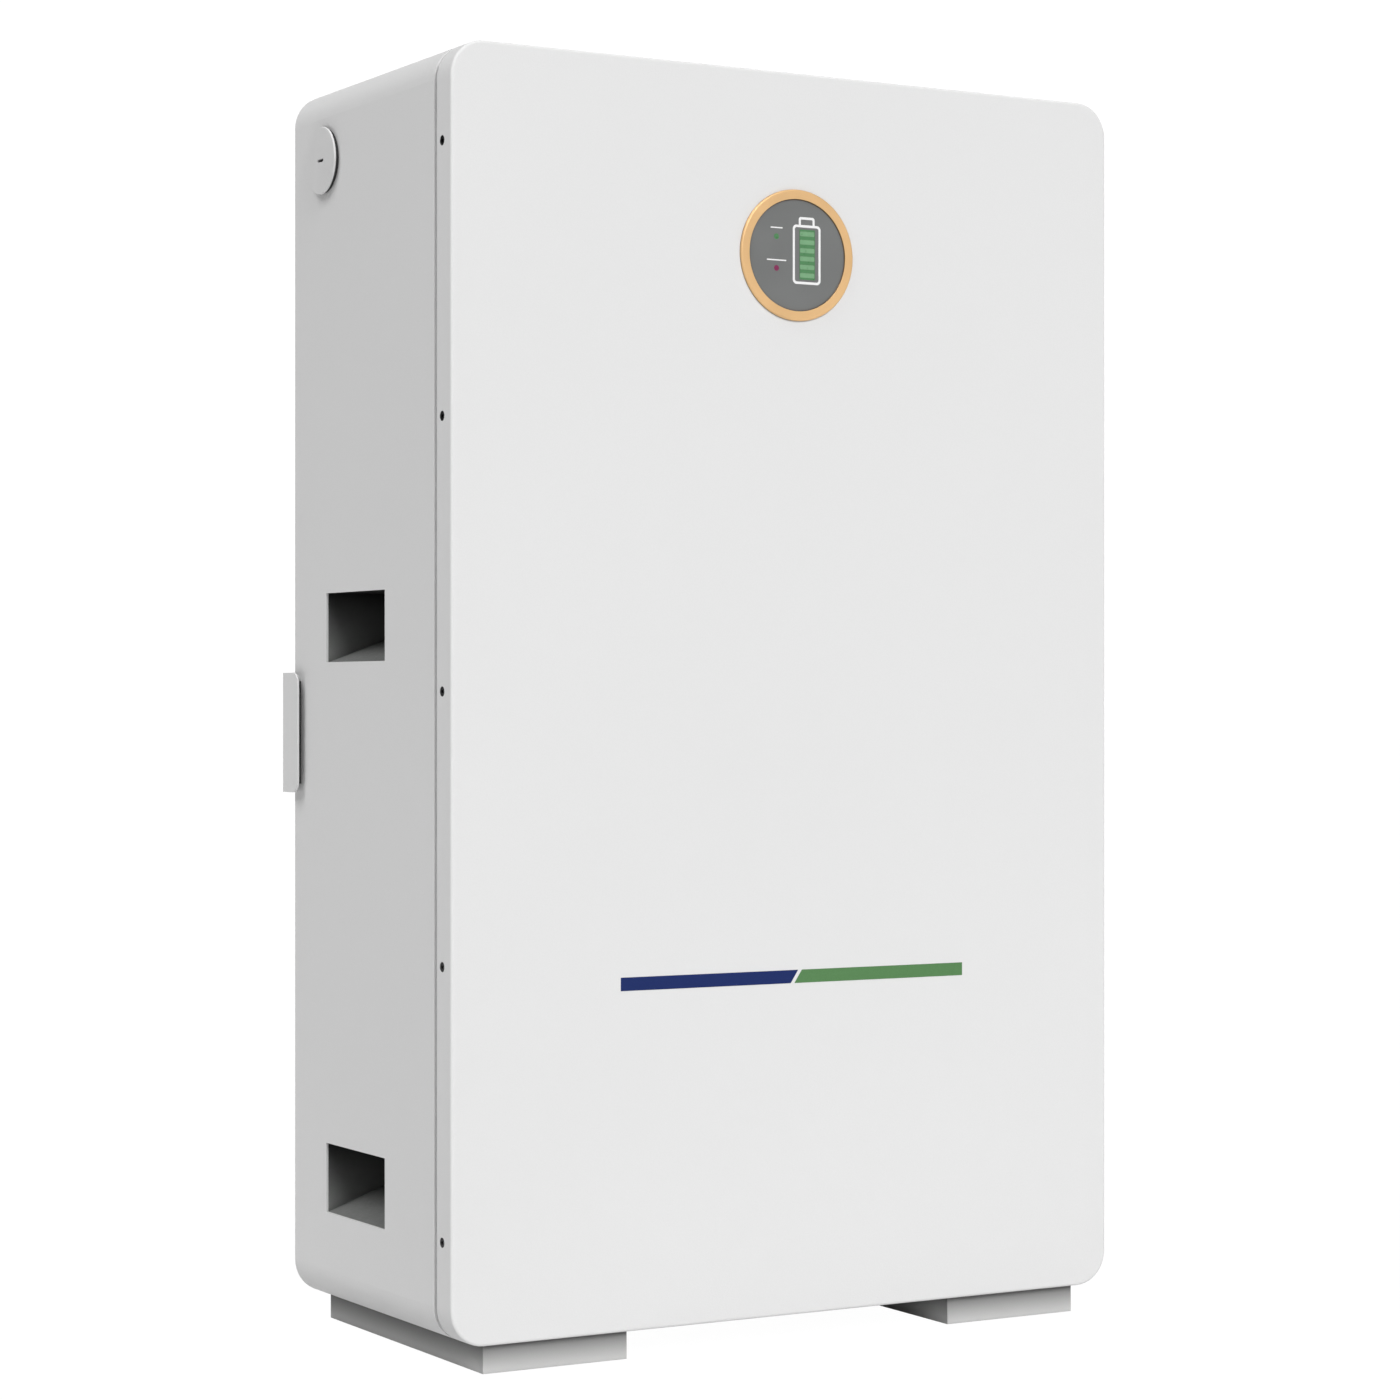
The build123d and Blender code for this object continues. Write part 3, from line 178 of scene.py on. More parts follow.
# ---- finishes ----------------------------------------------------------------
# Noise scales are per metre, relief depths and crevice distances in metres.
SHADE_AND_DUST_DIM = 0.25                 # of painted shade and dust in corners and under overhangs, against the clean coat
GRIP_CUP_H = 0.051                 # outside height of one hand-grip cup


def powder_coat(name, colour, joined=False, under=None):
    """Fine-texture powder coat: orange-peel relief, faint clouding, worn edges, and painted shade with
    some dust in the corners.

    joined is for sheets welded flush and coated as one, whose edges must not show. under is for a part
    below an overhang: the two heights between which painted shade from the overhang darkens it.
    """
    s = Shader(name)
    s.bsdf.inputs["Specular IOR Level"].default_value = 0.05
    clouds = s.span(s.noise(3.5, detail=4.0), 0.3, 0.7)
    specks = s.span(s.noise(900.0, detail=2.0), 0.35, 0.65)
    base = s.mix(clouds, dimmed(colour, 0.985), colour)
    base = s.mix(s.scaled(specks, 0.35), base, dimmed(colour, 0.95))
    if not joined:
        patches = s.span(s.noise(55.0, detail=5.0, rough=0.7), 0.45, 0.75)
        rub = s.math("MULTIPLY", s.edges(radius=0.0016), patches)
        base = s.mix(s.scaled(rub, 0.25), base, dimmed(colour, 0.8))
    # Painted shade under an overhang: darker in the recesses and towards the overhang.
    if under:
        deep = s.scaled(s.crevices(0.03, in_open=0.5, deep=0.2, samples=32), 0.6)
        shade_and_dust = s.math("MAXIMUM", deep, s.span(s.height(), *under))
    else:
        # Painted shade in the corners, standing in partly for dust.
        shade_and_dust = s.scaled(s.crevices(0.004), 0.3)
    s.colour(s.mix(shade_and_dust, base, dimmed(colour, SHADE_AND_DUST_DIM)))
    s.rough(s.span(s.noise(240.0), 0.3, 0.7, 0.42, 0.56))
    s.bump(s.noise(1300.0, detail=2.0, rough=0.4), 0.00007, rounded=0.0 if joined else 0.0007)
    return s.material


def grip_cup_coat(name, colour, top_shade):
    """Moulded cups of the hand grips, with painted shade: near black at the top of each cup, paler towards
    its floor.
    """
    s = Shader(name)
    s.bsdf.inputs["Specular IOR Level"].default_value = 0.25
    low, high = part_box("handle_cups")
    pitch = high.z - low.z - GRIP_CUP_H
    above = s.math("SUBTRACT", s.height(), low.z)
    level = s.scaled(s.math("FRACT", s.math("DIVIDE", above, pitch)), pitch / GRIP_CUP_H)
    dust = s.span(s.noise(70.0, detail=5.0, rough=0.7), 0.3, 0.7, 0.88, 1.0)
    base = s.mix(s.math("MULTIPLY", s.span(level, 0.95, 0.15), dust), top_shade, colour)
    # Painted shade in the cups' corners.
    base = s.mix(s.scaled(s.crevices(0.010), 0.4), base, top_shade)
    s.colour(base)
    s.rough(s.span(s.noise(420.0), 0.3, 0.7, 0.52, 0.68))
    s.bump(s.noise(1500.0, detail=2.0), 0.00004, rounded=0.0004)
    return s.material


def moulded(name, colour, roughness=0.42, crevice_shade=0.0):
    """Injection-moulded plastic: a fine spark-eroded grain with paler handled edges."""
    s = Shader(name)
    flow = s.span(s.noise(14.0, distortion=0.6), 0.3, 0.7)
    base = s.mix(flow, dimmed(colour, 0.93), colour)
    patches = s.span(s.noise(220.0, detail=4.0), 0.4, 0.7)
    handled = s.math("MULTIPLY", s.edges(radius=0.0008), patches)
    paler = tuple(min(1.0, channel * 1.25 + 0.015) for channel in colour)
    base = s.mix(s.scaled(handled, 0.4), base, paler)
    # Painted shade: near black in crevices and slots.
    if crevice_shade:
        base = s.mix(s.scaled(s.crevices(0.003), crevice_shade), base, dimmed(colour, 0.04))
    s.colour(base)
    s.rough(s.span(s.noise(420.0), 0.3, 0.7, roughness - 0.07, roughness + 0.08))
    s.bump(s.noise(1800.0, detail=2.0), 0.00003, rounded=0.0003)
    return s.material


def plated(name, colour, roughness=0.32, relief=0.00001, metallic=1.0, crevice_shade=0.0):
    """Plated or anodised metal with the fine streaks of its drawing or turning."""
    s = Shader(name, metallic=metallic)
    streaks = s.noise(240.0, detail=4.0, rough=0.6, place=s.stretched((1.0, 1.0, 14.0)))
    stain = s.span(s.noise(30.0, detail=4.0), 0.35, 0.7)
    base = s.mix(s.scaled(stain, 0.5), colour, dimmed(colour, 0.82))
    shiny = tuple(min(1.0, channel * 1.2) for channel in colour)
    base = s.mix(s.scaled(s.edges(radius=0.0005), 0.35), base, shiny)
    # Painted shade: darker in corners and where it meets the faces round it.
    if crevice_shade:
        corners = s.crevices(0.003, in_open=0.85, deep=0.45, samples=16)
        base = s.mix(s.scaled(corners, crevice_shade), base, dimmed(colour, SHADE_AND_DUST_DIM))
    s.colour(base)
    s.rough(s.span(streaks, 0.25, 0.75, roughness - 0.1, roughness + 0.12))
    s.bump(streaks, relief, rounded=0.0003)
    return s.material


def rubber(name, colour):
    """Foamed or moulded rubber with a dusty bloom."""
    s = Shader(name)
    bloom = s.span(s.noise(60.0, detail=5.0, rough=0.7), 0.35, 0.75)
    dusty = tuple(channel * 1.8 + 0.01 for channel in colour)
    s.colour(s.mix(s.scaled(bloom, 0.6), colour, dusty))
    s.rough(s.span(bloom, 0.0, 1.0, 0.72, 0.92))
    s.bump(s.cells(900.0), 0.00008, rounded=0.0004)
    return s.material


def lens_glass(name, colour, rim_shade):
    """Printed acrylic: a coloured layer under a slightly hazed gloss, with painted shade where it meets
    its ring.
    """
    s = Shader(name, coat=0.6, coat_roughness=0.06)
    haze = s.span(s.noise(40.0, detail=4.0), 0.3, 0.7)
    specks = s.span(s.noise(1500.0, detail=2.0), 0.4, 0.62)
    base = s.mix(haze, dimmed(colour, 0.96), colour)
    base = s.mix(s.scaled(specks, 0.25), base, dimmed(colour, 0.86))
    rim = s.crevices(0.0025, in_open=0.95, deep=0.5, samples=16)
    s.colour(s.mix(s.scaled(rim, 0.85), base, rim_shade))
    s.rough(s.span(haze, 0.0, 1.0, 0.3, 0.38))
    s.bump(s.noise(700.0, detail=2.0), 0.000004, rounded=0.0002)
    return s.material


def lit_window(name, colour, glow):
    """A translucent window over a light, with painted shade darkening its rim."""
    s = Shader(name)
    spread = s.span(s.noise(260.0, detail=2.0), 0.25, 0.75)
    base = s.mix(spread, dimmed(colour, 0.85), colour)
    base = s.mix(s.scaled(s.crevices(0.0015), 0.5), base, dimmed(colour, 0.6))
    s.colour(base)
    s.bsdf.inputs["Emission Color"].default_value = (*glow, 1.0)
    s.bsdf.inputs["Emission Strength"].default_value = 1.0
    s.rough(s.span(spread, 0.0, 1.0, 0.26, 0.36))
    s.bump(s.noise(1200.0, detail=2.0), 0.000006)
    return s.material


def printed(name, colour):
    """Screen-printed ink: slightly uneven cover and a dry, raised edge."""
    s = Shader(name)
    s.bsdf.inputs["Specular IOR Level"].default_value = 0.2
    cover = s.span(s.noise(1900.0), 0.3, 0.62)
    s.colour(s.mix(cover, dimmed(colour, 0.86), colour))
    s.rough(s.span(s.noise(500.0, detail=2.0), 0.3, 0.7, 0.42, 0.55))
    s.bump(s.noise(2600.0, detail=2.0), 0.00001)
    return s.material


def circuit_board(name):
    """Solder mask with the faint relief of tracks below it."""
    s = Shader(name, coat=0.3)
    tracks = s.add("ShaderNodeTexBrick")
    tracks.inputs["Scale"].default_value = 90.0
    tracks.inputs["Mortar Size"].default_value = 0.03
    s.link(s.place, tracks.inputs["Vector"])
    mask = tracks.outputs["Fac"]
    s.colour(s.mix(mask, (0.008, 0.10, 0.035), (0.02, 0.19, 0.07)))
    s.rough(s.span(s.noise(300.0), 0.3, 0.7, 0.3, 0.42))
    s.bump(mask, 0.00003)
    return s.material


def cell_film(name):
    """Blue PET film shrunk round a cell, with wrinkles and a slight sheen."""
    s = Shader(name, coat=0.5)
    wide = s.stretched((1.0, 0.25, 2.5))
    folds = s.noise(18.0, detail=5.0, rough=0.6, place=wide, distortion=1.2)
    s.colour(s.mix(s.span(folds, 0.3, 0.7), (0.012, 0.06, 0.27), (0.025, 0.11, 0.42)))
    s.rough(s.span(folds, 0.3, 0.7, 0.2, 0.36))
    s.bump(folds, 0.0002, rounded=0.0006)
    return s.material


WHITE = (0.73, 0.73, 0.73)
FOOT_SHADE_FROM = 0.003             # height where the painted shade on a foot begins
FOOT_SHADE_AT = 0.0195              # height where the painted shade is darkest, under the cabinet

finishes = {
    "white_powder_coat": powder_coat("white_powder_coat", WHITE),
    "light_grey_powder_coat": powder_coat("light_grey_powder_coat", (0.42, 0.42, 0.42)),
    "grey_powder_coat": powder_coat("grey_powder_coat", (0.17, 0.17, 0.175)),
    # The cap plastic and the gold ring get painted shade in their crevices.
    "white_cap_plastic": moulded("white_cap_plastic", (0.72, 0.72, 0.72), 0.5, crevice_shade=0.9),
    "black_screw_steel": plated("black_screw_steel", (0.03, 0.03, 0.032), 0.38),
    "zinc_steel": plated("zinc_steel", (0.60, 0.61, 0.63), 0.36),
    "black_rubber": rubber("black_rubber", (0.022, 0.022, 0.023)),
    "gold_ring": plated("gold_ring", (0.84, 0.53, 0.25), 0.45, relief=0.000005, metallic=0.35, crevice_shade=0.9),
    "grey_lens": lens_glass("grey_lens", (0.177, 0.182, 0.180), (0.06, 0.04, 0.028)),
    "white_print": printed("white_print", (0.86, 0.86, 0.86)),
    "green_light": lit_window("green_light", (0.13, 0.30, 0.14), (0.07, 0.10, 0.075)),
    "red_light": lit_window("red_light", (0.20, 0.025, 0.085), (0.03, 0.004, 0.012)),
    "black_plastic": moulded("black_plastic", (0.025, 0.025, 0.027)),
    "grey_plastic": moulded("grey_plastic", (0.50, 0.50, 0.50)),
    "white_plastic": moulded("white_plastic", (0.78, 0.78, 0.76)),
    "red_plastic": moulded("red_plastic", (0.52, 0.03, 0.03)),
    "orange_plastic": moulded("orange_plastic", (0.85, 0.24, 0.03)),
    "circuit_board": circuit_board("circuit_board"),
    "nickel_brass": plated("nickel_brass", (0.72, 0.71, 0.69), 0.24),
    "brass": plated("brass", (0.75, 0.55, 0.24), 0.3),
    "aluminium": plated("aluminium", (0.78, 0.79, 0.80), 0.34),
    "cell_wrap": cell_film("cell_wrap"),
    "insulation_sheet": moulded("insulation_sheet", (0.50, 0.56, 0.38), 0.5),
    "red_cable": moulded("red_cable", (0.48, 0.02, 0.02), 0.38),
}
flush_coat = powder_coat("flush_coat", WHITE, joined=True)
dim_green = lit_window("dim_green", (0.07, 0.20, 0.085), (0.023, 0.05, 0.023))
own_finishes = {
    "rear_housing": flush_coat,
    "side_panels": flush_coat,
    # The cups' dark grey stands partly for the shade inside the grips; their near-black tops are painted
    # shade.
    "handle_cups": grip_cup_coat("grip_cup_coat", (0.20, 0.205, 0.20), (0.015, 0.015, 0.015)),
    "run_light": dim_green,
    # Painted shade: the feet are darker towards the cabinet above them and in their recesses.
    "feet": powder_coat("foot_coat", (0.58, 0.58, 0.575), under=(FOOT_SHADE_FROM, FOOT_SHADE_AT)),
}
blue_ink = printed("blue_ink", (0.008, 0.022, 0.120))
green_ink = printed("green_ink", (0.095, 0.225, 0.085))


def finish_cad_nodes():
    """Gives every CAD node its own finish, or else the finish of its slot."""
    slot_of = {part["node"]: part["material_slot"] for part in frame["record"]["subparts"]}
    for name, node in frame["nodes"].items():
        node.data.materials.clear()
        node.data.materials.append(own_finishes.get(name) or finishes[slot_of[name]])


# ---- piece builders ----------------------------------------------------------
INK_SUNK = -0.0002                 # a print's underside, against the face it is on
INK_PROUD = 0.00012                # a print's top, against the same face
SHARPEST_MITRE = 0.3               # keeps the corner of a line from running out
CORNER_STEPS = 6


class Face:
    """A flat face to print or build on: a point on it, and its right, up and outward directions."""

    def __init__(self, origin, right, up):
        self.origin = Vector(origin)
        self.right = Vector(right)
        self.up = Vector(up)
        self.out = self.right.cross(self.up)

    def at(self, u, v, w):
        """The point u to the right, v up and w outwards."""
        return self.origin + u * self.right + v * self.up + w * self.out


def add_piece(name, shape, slot, body=HOUSING, finish=None):
    """Turns a bmesh into an object that rides on a body.

    finish is for a piece that looks different from its slot. slot is None for an ink that no CAD node has.
    """
    bmesh.ops.recalc_face_normals(shape, faces=shape.faces)
    mesh = bpy.data.meshes.new(name)
    shape.to_mesh(mesh)
    shape.free()
    mesh.materials.append(finish or finishes[slot])
    piece = bpy.data.objects.new(name, mesh)
    scene.collection.objects.link(piece)
    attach(piece, body)


def add_outline(shape, face, points, low, high, soft=0.0):
    """A flat tablet with that outline, from low to high above a face, its top edge chamfered by soft."""
    middle = Vector((sum(u for u, v in points), sum(v for u, v in points))) / len(points)
    reach = max((Vector(point) - middle).length for point in points)
    rings = []
    for height, inset in ((low, 0.0), (high - soft, 0.0), (high, soft)):
        shrink = 1.0 - inset / reach
        spots = [middle + (Vector(point) - middle) * shrink for point in points]
        rings.append([shape.verts.new(face.at(u, v, height)) for u, v in spots])
    if not soft:
        bmesh.ops.delete(shape, geom=rings.pop(1), context="VERTS")
    shape.faces.new(rings[0])
    shape.faces.new(rings[-1])
    for lower, upper in zip(rings, rings[1:]):
        for i in range(len(points)):
            j = (i + 1) % len(points)
            shape.faces.new((lower[i], lower[j], upper[j], upper[i]))


def add_stroke(shape, face, points, width, closed=False):
    """A printed line of that width along points, with mitred corners."""
    spots = [Vector(point) for point in points]
    count = len(spots)
    sides = []
    for i, spot in enumerate(spots):
        before = spots[i - 1] if closed or i else spots[i]
        after = spots[(i + 1) % count] if closed or i < count - 1 else spots[i]
        ways = [(b - a).normalized() for a, b in ((before, spot), (spot, after)) if (b - a).length > 0]
        way = sum(ways, Vector((0, 0))).normalized()
        across = Vector((-way.y, way.x)) * (width / 2) / max(SHARPEST_MITRE, way.dot(ways[0]))
        sides.append([shape.verts.new(face.at(*(spot + side * across), height))
                      for side in (-1, 1) for height in (INK_SUNK, INK_PROUD)])
    for i in range(count if closed else count - 1):
        a, b = sides[i], sides[(i + 1) % count]
        for j, k in ((0, 1), (1, 3), (3, 2), (2, 0)):
            shape.faces.new((a[j], a[k], b[k], b[j]))
    if not closed:
        for end in (sides[0], sides[-1]):
            shape.faces.new((end[0], end[1], end[3], end[2]))


def arc(u, v, radius, start_deg, end_deg, steps):
    """Points along part of a circle round (u, v)."""
    turns = [math.radians(start_deg + (end_deg - start_deg) * i / steps) for i in range(steps + 1)]
    return [(u + radius * math.cos(turn), v + radius * math.sin(turn)) for turn in turns]


def rounded_box(u0, u1, v0, v1, radius):
    """The outline of a box with rounded corners."""
    corners = ((u1 - radius, v1 - radius, 0), (u0 + radius, v1 - radius, 90),
               (u0 + radius, v0 + radius, 180), (u1 - radius, v0 + radius, 270))
    return [spot for u, v, turn in corners
            for spot in arc(u, v, radius, turn, turn + 90, CORNER_STEPS)]


def plain_box(u0, u1, v0, v1):
    return [(u0, v0), (u1, v0), (u1, v1), (u0, v1)]


def centre(node):
    low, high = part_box(node)
    return (low + high) / 2


# ---- printing on the front ---------------------------------------------------
STRIPE_UP = 0.2315                 # middle of the stripe above the cover's bottom edge
STRIPE_HALF_H = 0.0045
STRIPE_HALF_W = 0.137
STRIPE_GAP = 0.003                 # between its two colours
STRIPE_SLANT = 0.006               # how far the gap leans over the stripe's height


def add_front_stripe():
    """A plain two-colour stripe across the front, cut on a slant between its colours."""
    low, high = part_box("front_cover")
    face = Face(((low.x + high.x) / 2, low.y, low.z + STRIPE_UP), (1, 0, 0), (0, 0, 1))
    for name, ink, side in (("stripe_blue", blue_ink, -1), ("stripe_green", green_ink, 1)):
        cut = side * STRIPE_GAP / 2
        outline = [(cut - STRIPE_SLANT / 2, -STRIPE_HALF_H), (side * STRIPE_HALF_W, -STRIPE_HALF_H),
                   (side * STRIPE_HALF_W, STRIPE_HALF_H), (cut + STRIPE_SLANT / 2, STRIPE_HALF_H)]
        shape = bmesh.new()
        add_outline(shape, face, outline, INK_SUNK, INK_PROUD)
        add_piece(name, shape, None, finish=ink)


LABEL_HALF_H = 0.00045
LABEL_CORNER_R = 0.000405
LABELS = (                         # light, half width of its bar, height above the light
    ("run_light", 0.0048, 0.0060),
    ("alarm_light", 0.0077, 0.0055),
)


def add_display_labels():
    """A short plain bar over each of the display's two small lights."""
    face_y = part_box("display_lens")[0].y
    for node, half, above in LABELS:
        spot = centre(node)
        face = Face((spot.x, face_y, spot.z + above), (1, 0, 0), (0, 0, 1))
        shape = bmesh.new()
        outline = rounded_box(-half, half, -LABEL_HALF_H, LABEL_HALF_H, LABEL_CORNER_R)
        add_outline(shape, face, outline, INK_SUNK, INK_PROUD)
        add_piece(node.replace("light", "label"), shape, "white_print")


CHARGE_BARS = 6
CHARGE_BAR_H = 0.0032
WINDOW_RIM = 0.0004                # width of the dark green window outside the bars' ends
WINDOW_CAP = 0.0013                # its height above the top bar and below the bottom one
BAR_PLAY = 0.00005                 # between the window and a bar


def add_charge_window():
    """The dark green window that shows round and between the lit bars."""
    low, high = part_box("charge_light_bars")
    face = Face(((low.x + high.x) / 2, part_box("display_lens")[0].y, low.z), (1, 0, 0), (0, 0, 1))
    half = (high.x - low.x) / 2
    tall = high.z - low.z
    pitch = (tall - CHARGE_BAR_H) / (CHARGE_BARS - 1)
    strips = [(-half, half, -WINDOW_CAP, -BAR_PLAY), (-half, half, tall + BAR_PLAY, tall + WINDOW_CAP)]
    for gap in range(CHARGE_BARS - 1):
        bar_top = gap * pitch + CHARGE_BAR_H
        next_bar = (gap + 1) * pitch
        strips.append((-half, half, bar_top + BAR_PLAY, next_bar - BAR_PLAY))
    for side in (-1, 1):
        inner, outer = side * (half + BAR_PLAY), side * (half + WINDOW_RIM)
        strips.append((inner, outer, -WINDOW_CAP, tall + WINDOW_CAP))
    shape = bmesh.new()
    for strip in strips:
        add_outline(shape, face, plain_box(*strip), INK_SUNK, INK_PROUD)
    add_piece("charge_window", shape, "green_light", finish=dim_green)


# ---- connection recess -------------------------------------------------------
SIGN_LINE = 0.0011                 # width of the polarity signs' lines
FRAME_LINE = 0.0006
THIN_LINE = 0.0008

POLE_SIGN_UP = 0.006               # above the sockets it marks
POLE_SIGN_HALF = 0.003
FRAME_START = 0.007                # where the line beside a polarity sign starts
FRAME_INSET = 0.002                # how far it stops before the sockets' end
FRAME_DROP = 0.003

EARTH_SIGN_DOWN = 0.0068           # below the stud
EARTH_STEM = (0.0026, 0.0004)      # its top and bottom
EARTH_BARS = ((0.0036, 0.0), (0.0023, -0.0018), (0.001, -0.0036))     # half width, height

SWITCH_SIGN_OUT = 0.0185           # on and off signs from the lever's axis
ON_HALF = 0.0018
ON_LINE = 0.0009
OFF_R = 0.0016

STANDBY_R = 0.0029
STANDBY_DROP = -0.0002             # the ring's middle below the button's
STANDBY_ARC_DEG = (125, 415)
STANDBY_STEM = (0.0006, 0.0035)    # its bottom and top

DIGIT_SIZE = 0.0034
DIGIT_DOWN = 0.0038                # below the switch body

JACKS = 3
JACK_W = 0.016
CONTACTS_PER_JACK = 8
CONTACT_PITCH = 0.00102
CONTACT_WIRE_R = 0.0002
CONTACT_BENDS = (                  # a contact's way into the jack: from the mouth, from the middle
    (-0.0022, 0.0037),
    (-0.0034, 0.0034),
    (-0.0075, 0.0006),
    (-0.0098, -0.0012),
    (-0.0104, -0.0012),
)
SIGNALS = (                        # name, slot, side of the jack
    ("jack_link_light", "green_light", -1),
    ("jack_busy_light", "orange_plastic", 1),
)
SIGNAL_OUT = 0.0042                # a signal window from the jack's middle
SIGNAL_HALF_W = 0.0014
SIGNAL_HEIGHTS = (0.0047, 0.0062)
SIGNAL_CORNER_R = 0.0003
SIGNAL_PROUD = 0.0002
SIGNAL_CHAMFER = 0.00012


def side_face(x, y, z):
    """A face that looks out through the right-hand side."""
    return Face((x, y, z), (0, 1, 0), (0, 0, 1))


def print_marks(name, face, strokes, body=HOUSING, slot="white_print"):
    """One printed piece from several lines: (points, width, closed)."""
    shape = bmesh.new()
    for points, width, closed in strokes:
        add_stroke(shape, face, points, width, closed)
    add_piece(name, shape, slot, body)


def add_pole_sign(name, sockets, positive):
    """A polarity sign over a row of power sockets, between the ends of a thin frame."""
    low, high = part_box(sockets)
    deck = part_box("connector_plate")[1].x
    face = side_face(deck, (low.y + high.y) / 2, high.z + POLE_SIGN_UP)
    strokes = [([(-POLE_SIGN_HALF, 0), (POLE_SIGN_HALF, 0)], SIGN_LINE, False)]
    if positive:
        for start, end in ((-POLE_SIGN_HALF, -SIGN_LINE / 2), (SIGN_LINE / 2, POLE_SIGN_HALF)):
            strokes.append(([(0, start), (0, end)], SIGN_LINE, False))
    reach = (high.y - low.y) / 2 - FRAME_INSET
    for side in (-1, 1):
        corner = [(side * FRAME_START, 0), (side * reach, 0), (side * reach, -FRAME_DROP)]
        strokes.append((corner, FRAME_LINE, False))
    print_marks(name, face, strokes)


def add_earth_sign():
    """The earth sign below the ground stud."""
    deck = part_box("connector_plate")[1].x
    face = side_face(deck, centre("ground_stud").y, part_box("ground_stud")[0].z - EARTH_SIGN_DOWN)
    strokes = [([(0, up) for up in EARTH_STEM], THIN_LINE, False)]
    strokes += [([(-half, up), (half, up)], THIN_LINE, False) for half, up in EARTH_BARS]
    print_marks("mark_earth", face, strokes)


def add_breaker_marks():
    """The line and ring for on and off, above and below the breaker's lever."""
    low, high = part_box("breaker_body")
    face = side_face(high.x, (low.y + high.y) / 2, centre("breaker_pin").z)
    line = [(0, SWITCH_SIGN_OUT - ON_HALF), (0, SWITCH_SIGN_OUT + ON_HALF)]
    ring = arc(0, -SWITCH_SIGN_OUT, OFF_R, 0, 345, 23)
    print_marks("mark_on", face, [(line, ON_LINE, False)], slot="black_plastic")
    print_marks("mark_off", face, [(ring, THIN_LINE, True)], slot="black_plastic")


def add_power_mark():
    """The standby sign on the power button, which moves with it."""
    low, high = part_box("power_button")
    face = side_face(high.x, (low.y + high.y) / 2, (low.z + high.z) / 2)
    ring = arc(0, STANDBY_DROP, STANDBY_R, *STANDBY_ARC_DEG, 30)
    stem = [(0, up) for up in STANDBY_STEM]
    print_marks("mark_power", face, [(ring, FRAME_LINE, False), (stem, FRAME_LINE, False)],
                body="power_button_body")


def add_switch_digits():
    """The numbers 1 to 4 under the small slide switches."""
    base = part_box("dip_switch_body")[0].z - DIGIT_DOWN
    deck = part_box("connector_plate")[1].x
    for way in range(1, 5):
        name = f"digit_{way}"
        letter = bpy.data.curves.new(name, "FONT")
        letter.body = str(way)
        letter.size = DIGIT_SIZE
        letter.align_x = "CENTER"
        letter.extrude = INK_PROUD / 2
        letter.materials.append(finishes["white_print"])
        digit = bpy.data.objects.new(name, letter)
        digit.location = (deck, centre(f"dip_slider_{way}").y, base)
        digit.rotation_euler = (math.radians(90), 0, math.radians(90))
        scene.collection.objects.link(digit)
        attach(digit, HOUSING)


def add_jack_contacts(name, mouth, y, z):
    """The sprung contact wires of one communication jack."""
    wires = bpy.data.curves.new(name, "CURVE")
    wires.dimensions = "3D"
    wires.bevel_depth = CONTACT_WIRE_R
    wires.bevel_resolution = 2
    for way in range(CONTACTS_PER_JACK):
        across = (way - (CONTACTS_PER_JACK - 1) / 2) * CONTACT_PITCH
        line = wires.splines.new("POLY")
        line.points.add(len(CONTACT_BENDS) - 1)
        for point, (x, up) in zip(line.points, CONTACT_BENDS):
            point.co = (mouth + x, y + across, z + up, 1.0)
    wires.materials.append(finishes["brass"])
    piece = bpy.data.objects.new(name, wires)
    scene.collection.objects.link(piece)
    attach(piece, HOUSING)


def add_jack_details():
    """Sprung contacts and two signal windows in each communication jack."""
    low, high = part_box("comm_jacks")
    step = (high.y - low.y - JACK_W) / (JACKS - 1)
    z = (low.z + high.z) / 2
    for jack in range(JACKS):
        y = low.y + JACK_W / 2 + jack * step
        add_jack_contacts(f"jack_contacts_{jack + 1}", high.x, y, z)
        for name, slot, side in SIGNALS:
            middle = side * SIGNAL_OUT
            window = rounded_box(middle - SIGNAL_HALF_W, middle + SIGNAL_HALF_W, *SIGNAL_HEIGHTS,
                                 SIGNAL_CORNER_R)
            shape = bmesh.new()
            add_outline(shape, side_face(high.x, y, z), window, INK_SUNK, SIGNAL_PROUD, SIGNAL_CHAMFER)
            add_piece(f"{name}_{jack + 1}", shape, slot)


# ---- camera, light and floor -------------------------------------------------
CAMERA_PLACE = (-1.2556, -2.1678, 0.4407)
CAMERA_TURN_DEG = 30.05
CAMERA_LENS_MM = 89.9
SENSOR_MM = 36.0


def add_camera():
    data = bpy.data.cameras.new("camera")
    data.lens = CAMERA_LENS_MM
    data.sensor_width = SENSOR_MM
    camera = bpy.data.objects.new("camera", data)
    camera.location = CAMERA_PLACE
    camera.rotation_euler = (math.radians(90), 0, math.radians(-CAMERA_TURN_DEG))
    scene.collection.objects.link(camera)
    scene.camera = camera


SKY_LEVEL = 0.06                   # light from the surroundings
BACKDROP_LEVEL = 1.05              # brightness of the surroundings behind the object
FLOOR_WHITENESS = 0.94             # share of the backdrop in what shows of the floor
FLOOR_HALF = 40.0
FLOOR_ROUGHNESS = 0.9
SUNS = (                           # name, strength, spread in degrees, direction towards it
    ("front_key", 2.40, 28.0, (0.0, -0.626, 0.38)),
    ("side_key", 1.79, 40.0, (-0.27, 0.0, 0.405)),
    ("back_fill", 1.0, 40.0, (0.15, 0.15, 0.10)),
)


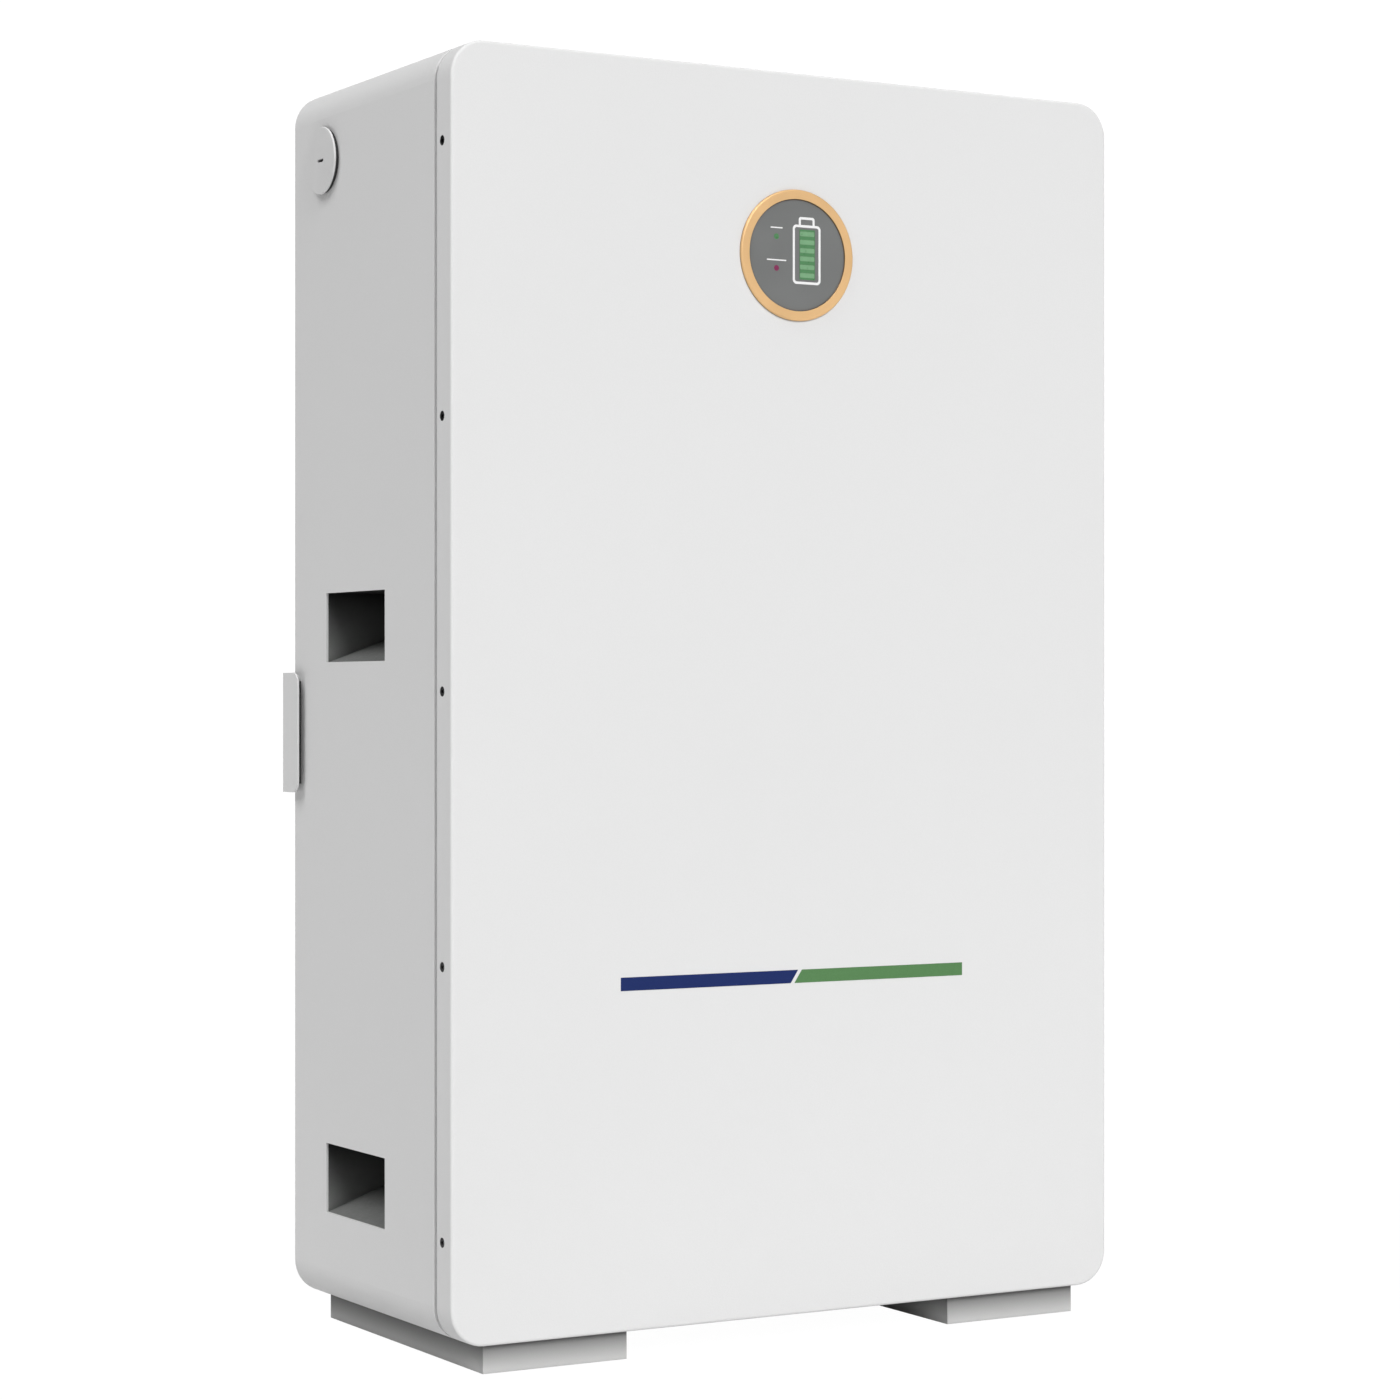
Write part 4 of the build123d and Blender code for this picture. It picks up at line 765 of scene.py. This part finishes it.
def add_light():
    """Dim even surroundings that look white to the camera, and three wide soft lights."""
    scene.view_settings.view_transform = "Standard"
    world = bpy.data.worlds.new("studio")
    scene.world = world
    world.use_nodes = True
    tree = world.node_tree
    background = tree.nodes["Background"]
    seen = tree.nodes.new("ShaderNodeLightPath")
    level = tree.nodes.new("ShaderNodeMapRange")
    level.inputs["To Min"].default_value = SKY_LEVEL
    level.inputs["To Max"].default_value = BACKDROP_LEVEL
    tree.links.new(seen.outputs["Is Camera Ray"], level.inputs["Value"])
    tree.links.new(level.outputs["Result"], background.inputs["Strength"])
    background.inputs["Color"].default_value = (1, 1, 1, 1)
    for name, strength, spread, towards in SUNS:
        sun = bpy.data.lights.new(name, "SUN")
        sun.energy = strength
        sun.angle = math.radians(spread)
        lamp = bpy.data.objects.new(name, sun)
        lamp.rotation_euler = Vector(towards).to_track_quat("Z", "Y").to_euler()
        scene.collection.objects.link(lamp)


def add_floor():
    """A plain pale sheet, which the camera sees nearly as white as the backdrop."""
    mesh = bpy.data.meshes.new("floor")
    shape = bmesh.new()
    bmesh.ops.create_grid(shape, x_segments=8, y_segments=8, size=FLOOR_HALF)
    shape.to_mesh(mesh)
    shape.free()
    floor = bpy.data.objects.new("floor", mesh)
    s = Shader("floor_paper")
    s.bsdf.inputs["Roughness"].default_value = FLOOR_ROUGHNESS
    s.bsdf.inputs["Specular IOR Level"].default_value = 0.0
    s.colour(s.mix(s.noise(2.0), (0.73, 0.73, 0.73), (0.75, 0.75, 0.75)))
    glow = s.add("ShaderNodeEmission")
    glow.inputs["Strength"].default_value = BACKDROP_LEVEL
    blend = s.add("ShaderNodeMixShader")
    seen = s.span(s.add("ShaderNodeLightPath").outputs["Is Camera Ray"], 0.0, 1.0, 0.0, FLOOR_WHITENESS)
    s.link(seen, blend.inputs["Fac"])
    s.link(s.bsdf.outputs["BSDF"], blend.inputs[1])
    s.link(glow.outputs["Emission"], blend.inputs[2])
    s.link(blend.outputs["Shader"], s.tree.nodes["Material Output"].inputs["Surface"])
    mesh.materials.append(s.material)
    scene.collection.objects.link(floor)


# ---- the scene ---------------------------------------------------------------
finish_cad_nodes()
add_front_stripe()
add_display_labels()
add_charge_window()
add_pole_sign("mark_negative", "power_sockets_negative", positive=False)
add_pole_sign("mark_positive", "power_sockets_positive", positive=True)
add_earth_sign()
add_breaker_marks()
add_power_mark()
add_switch_digits()
add_jack_details()
add_camera()
add_light()
add_floor()

bpy.context.view_layer.update()
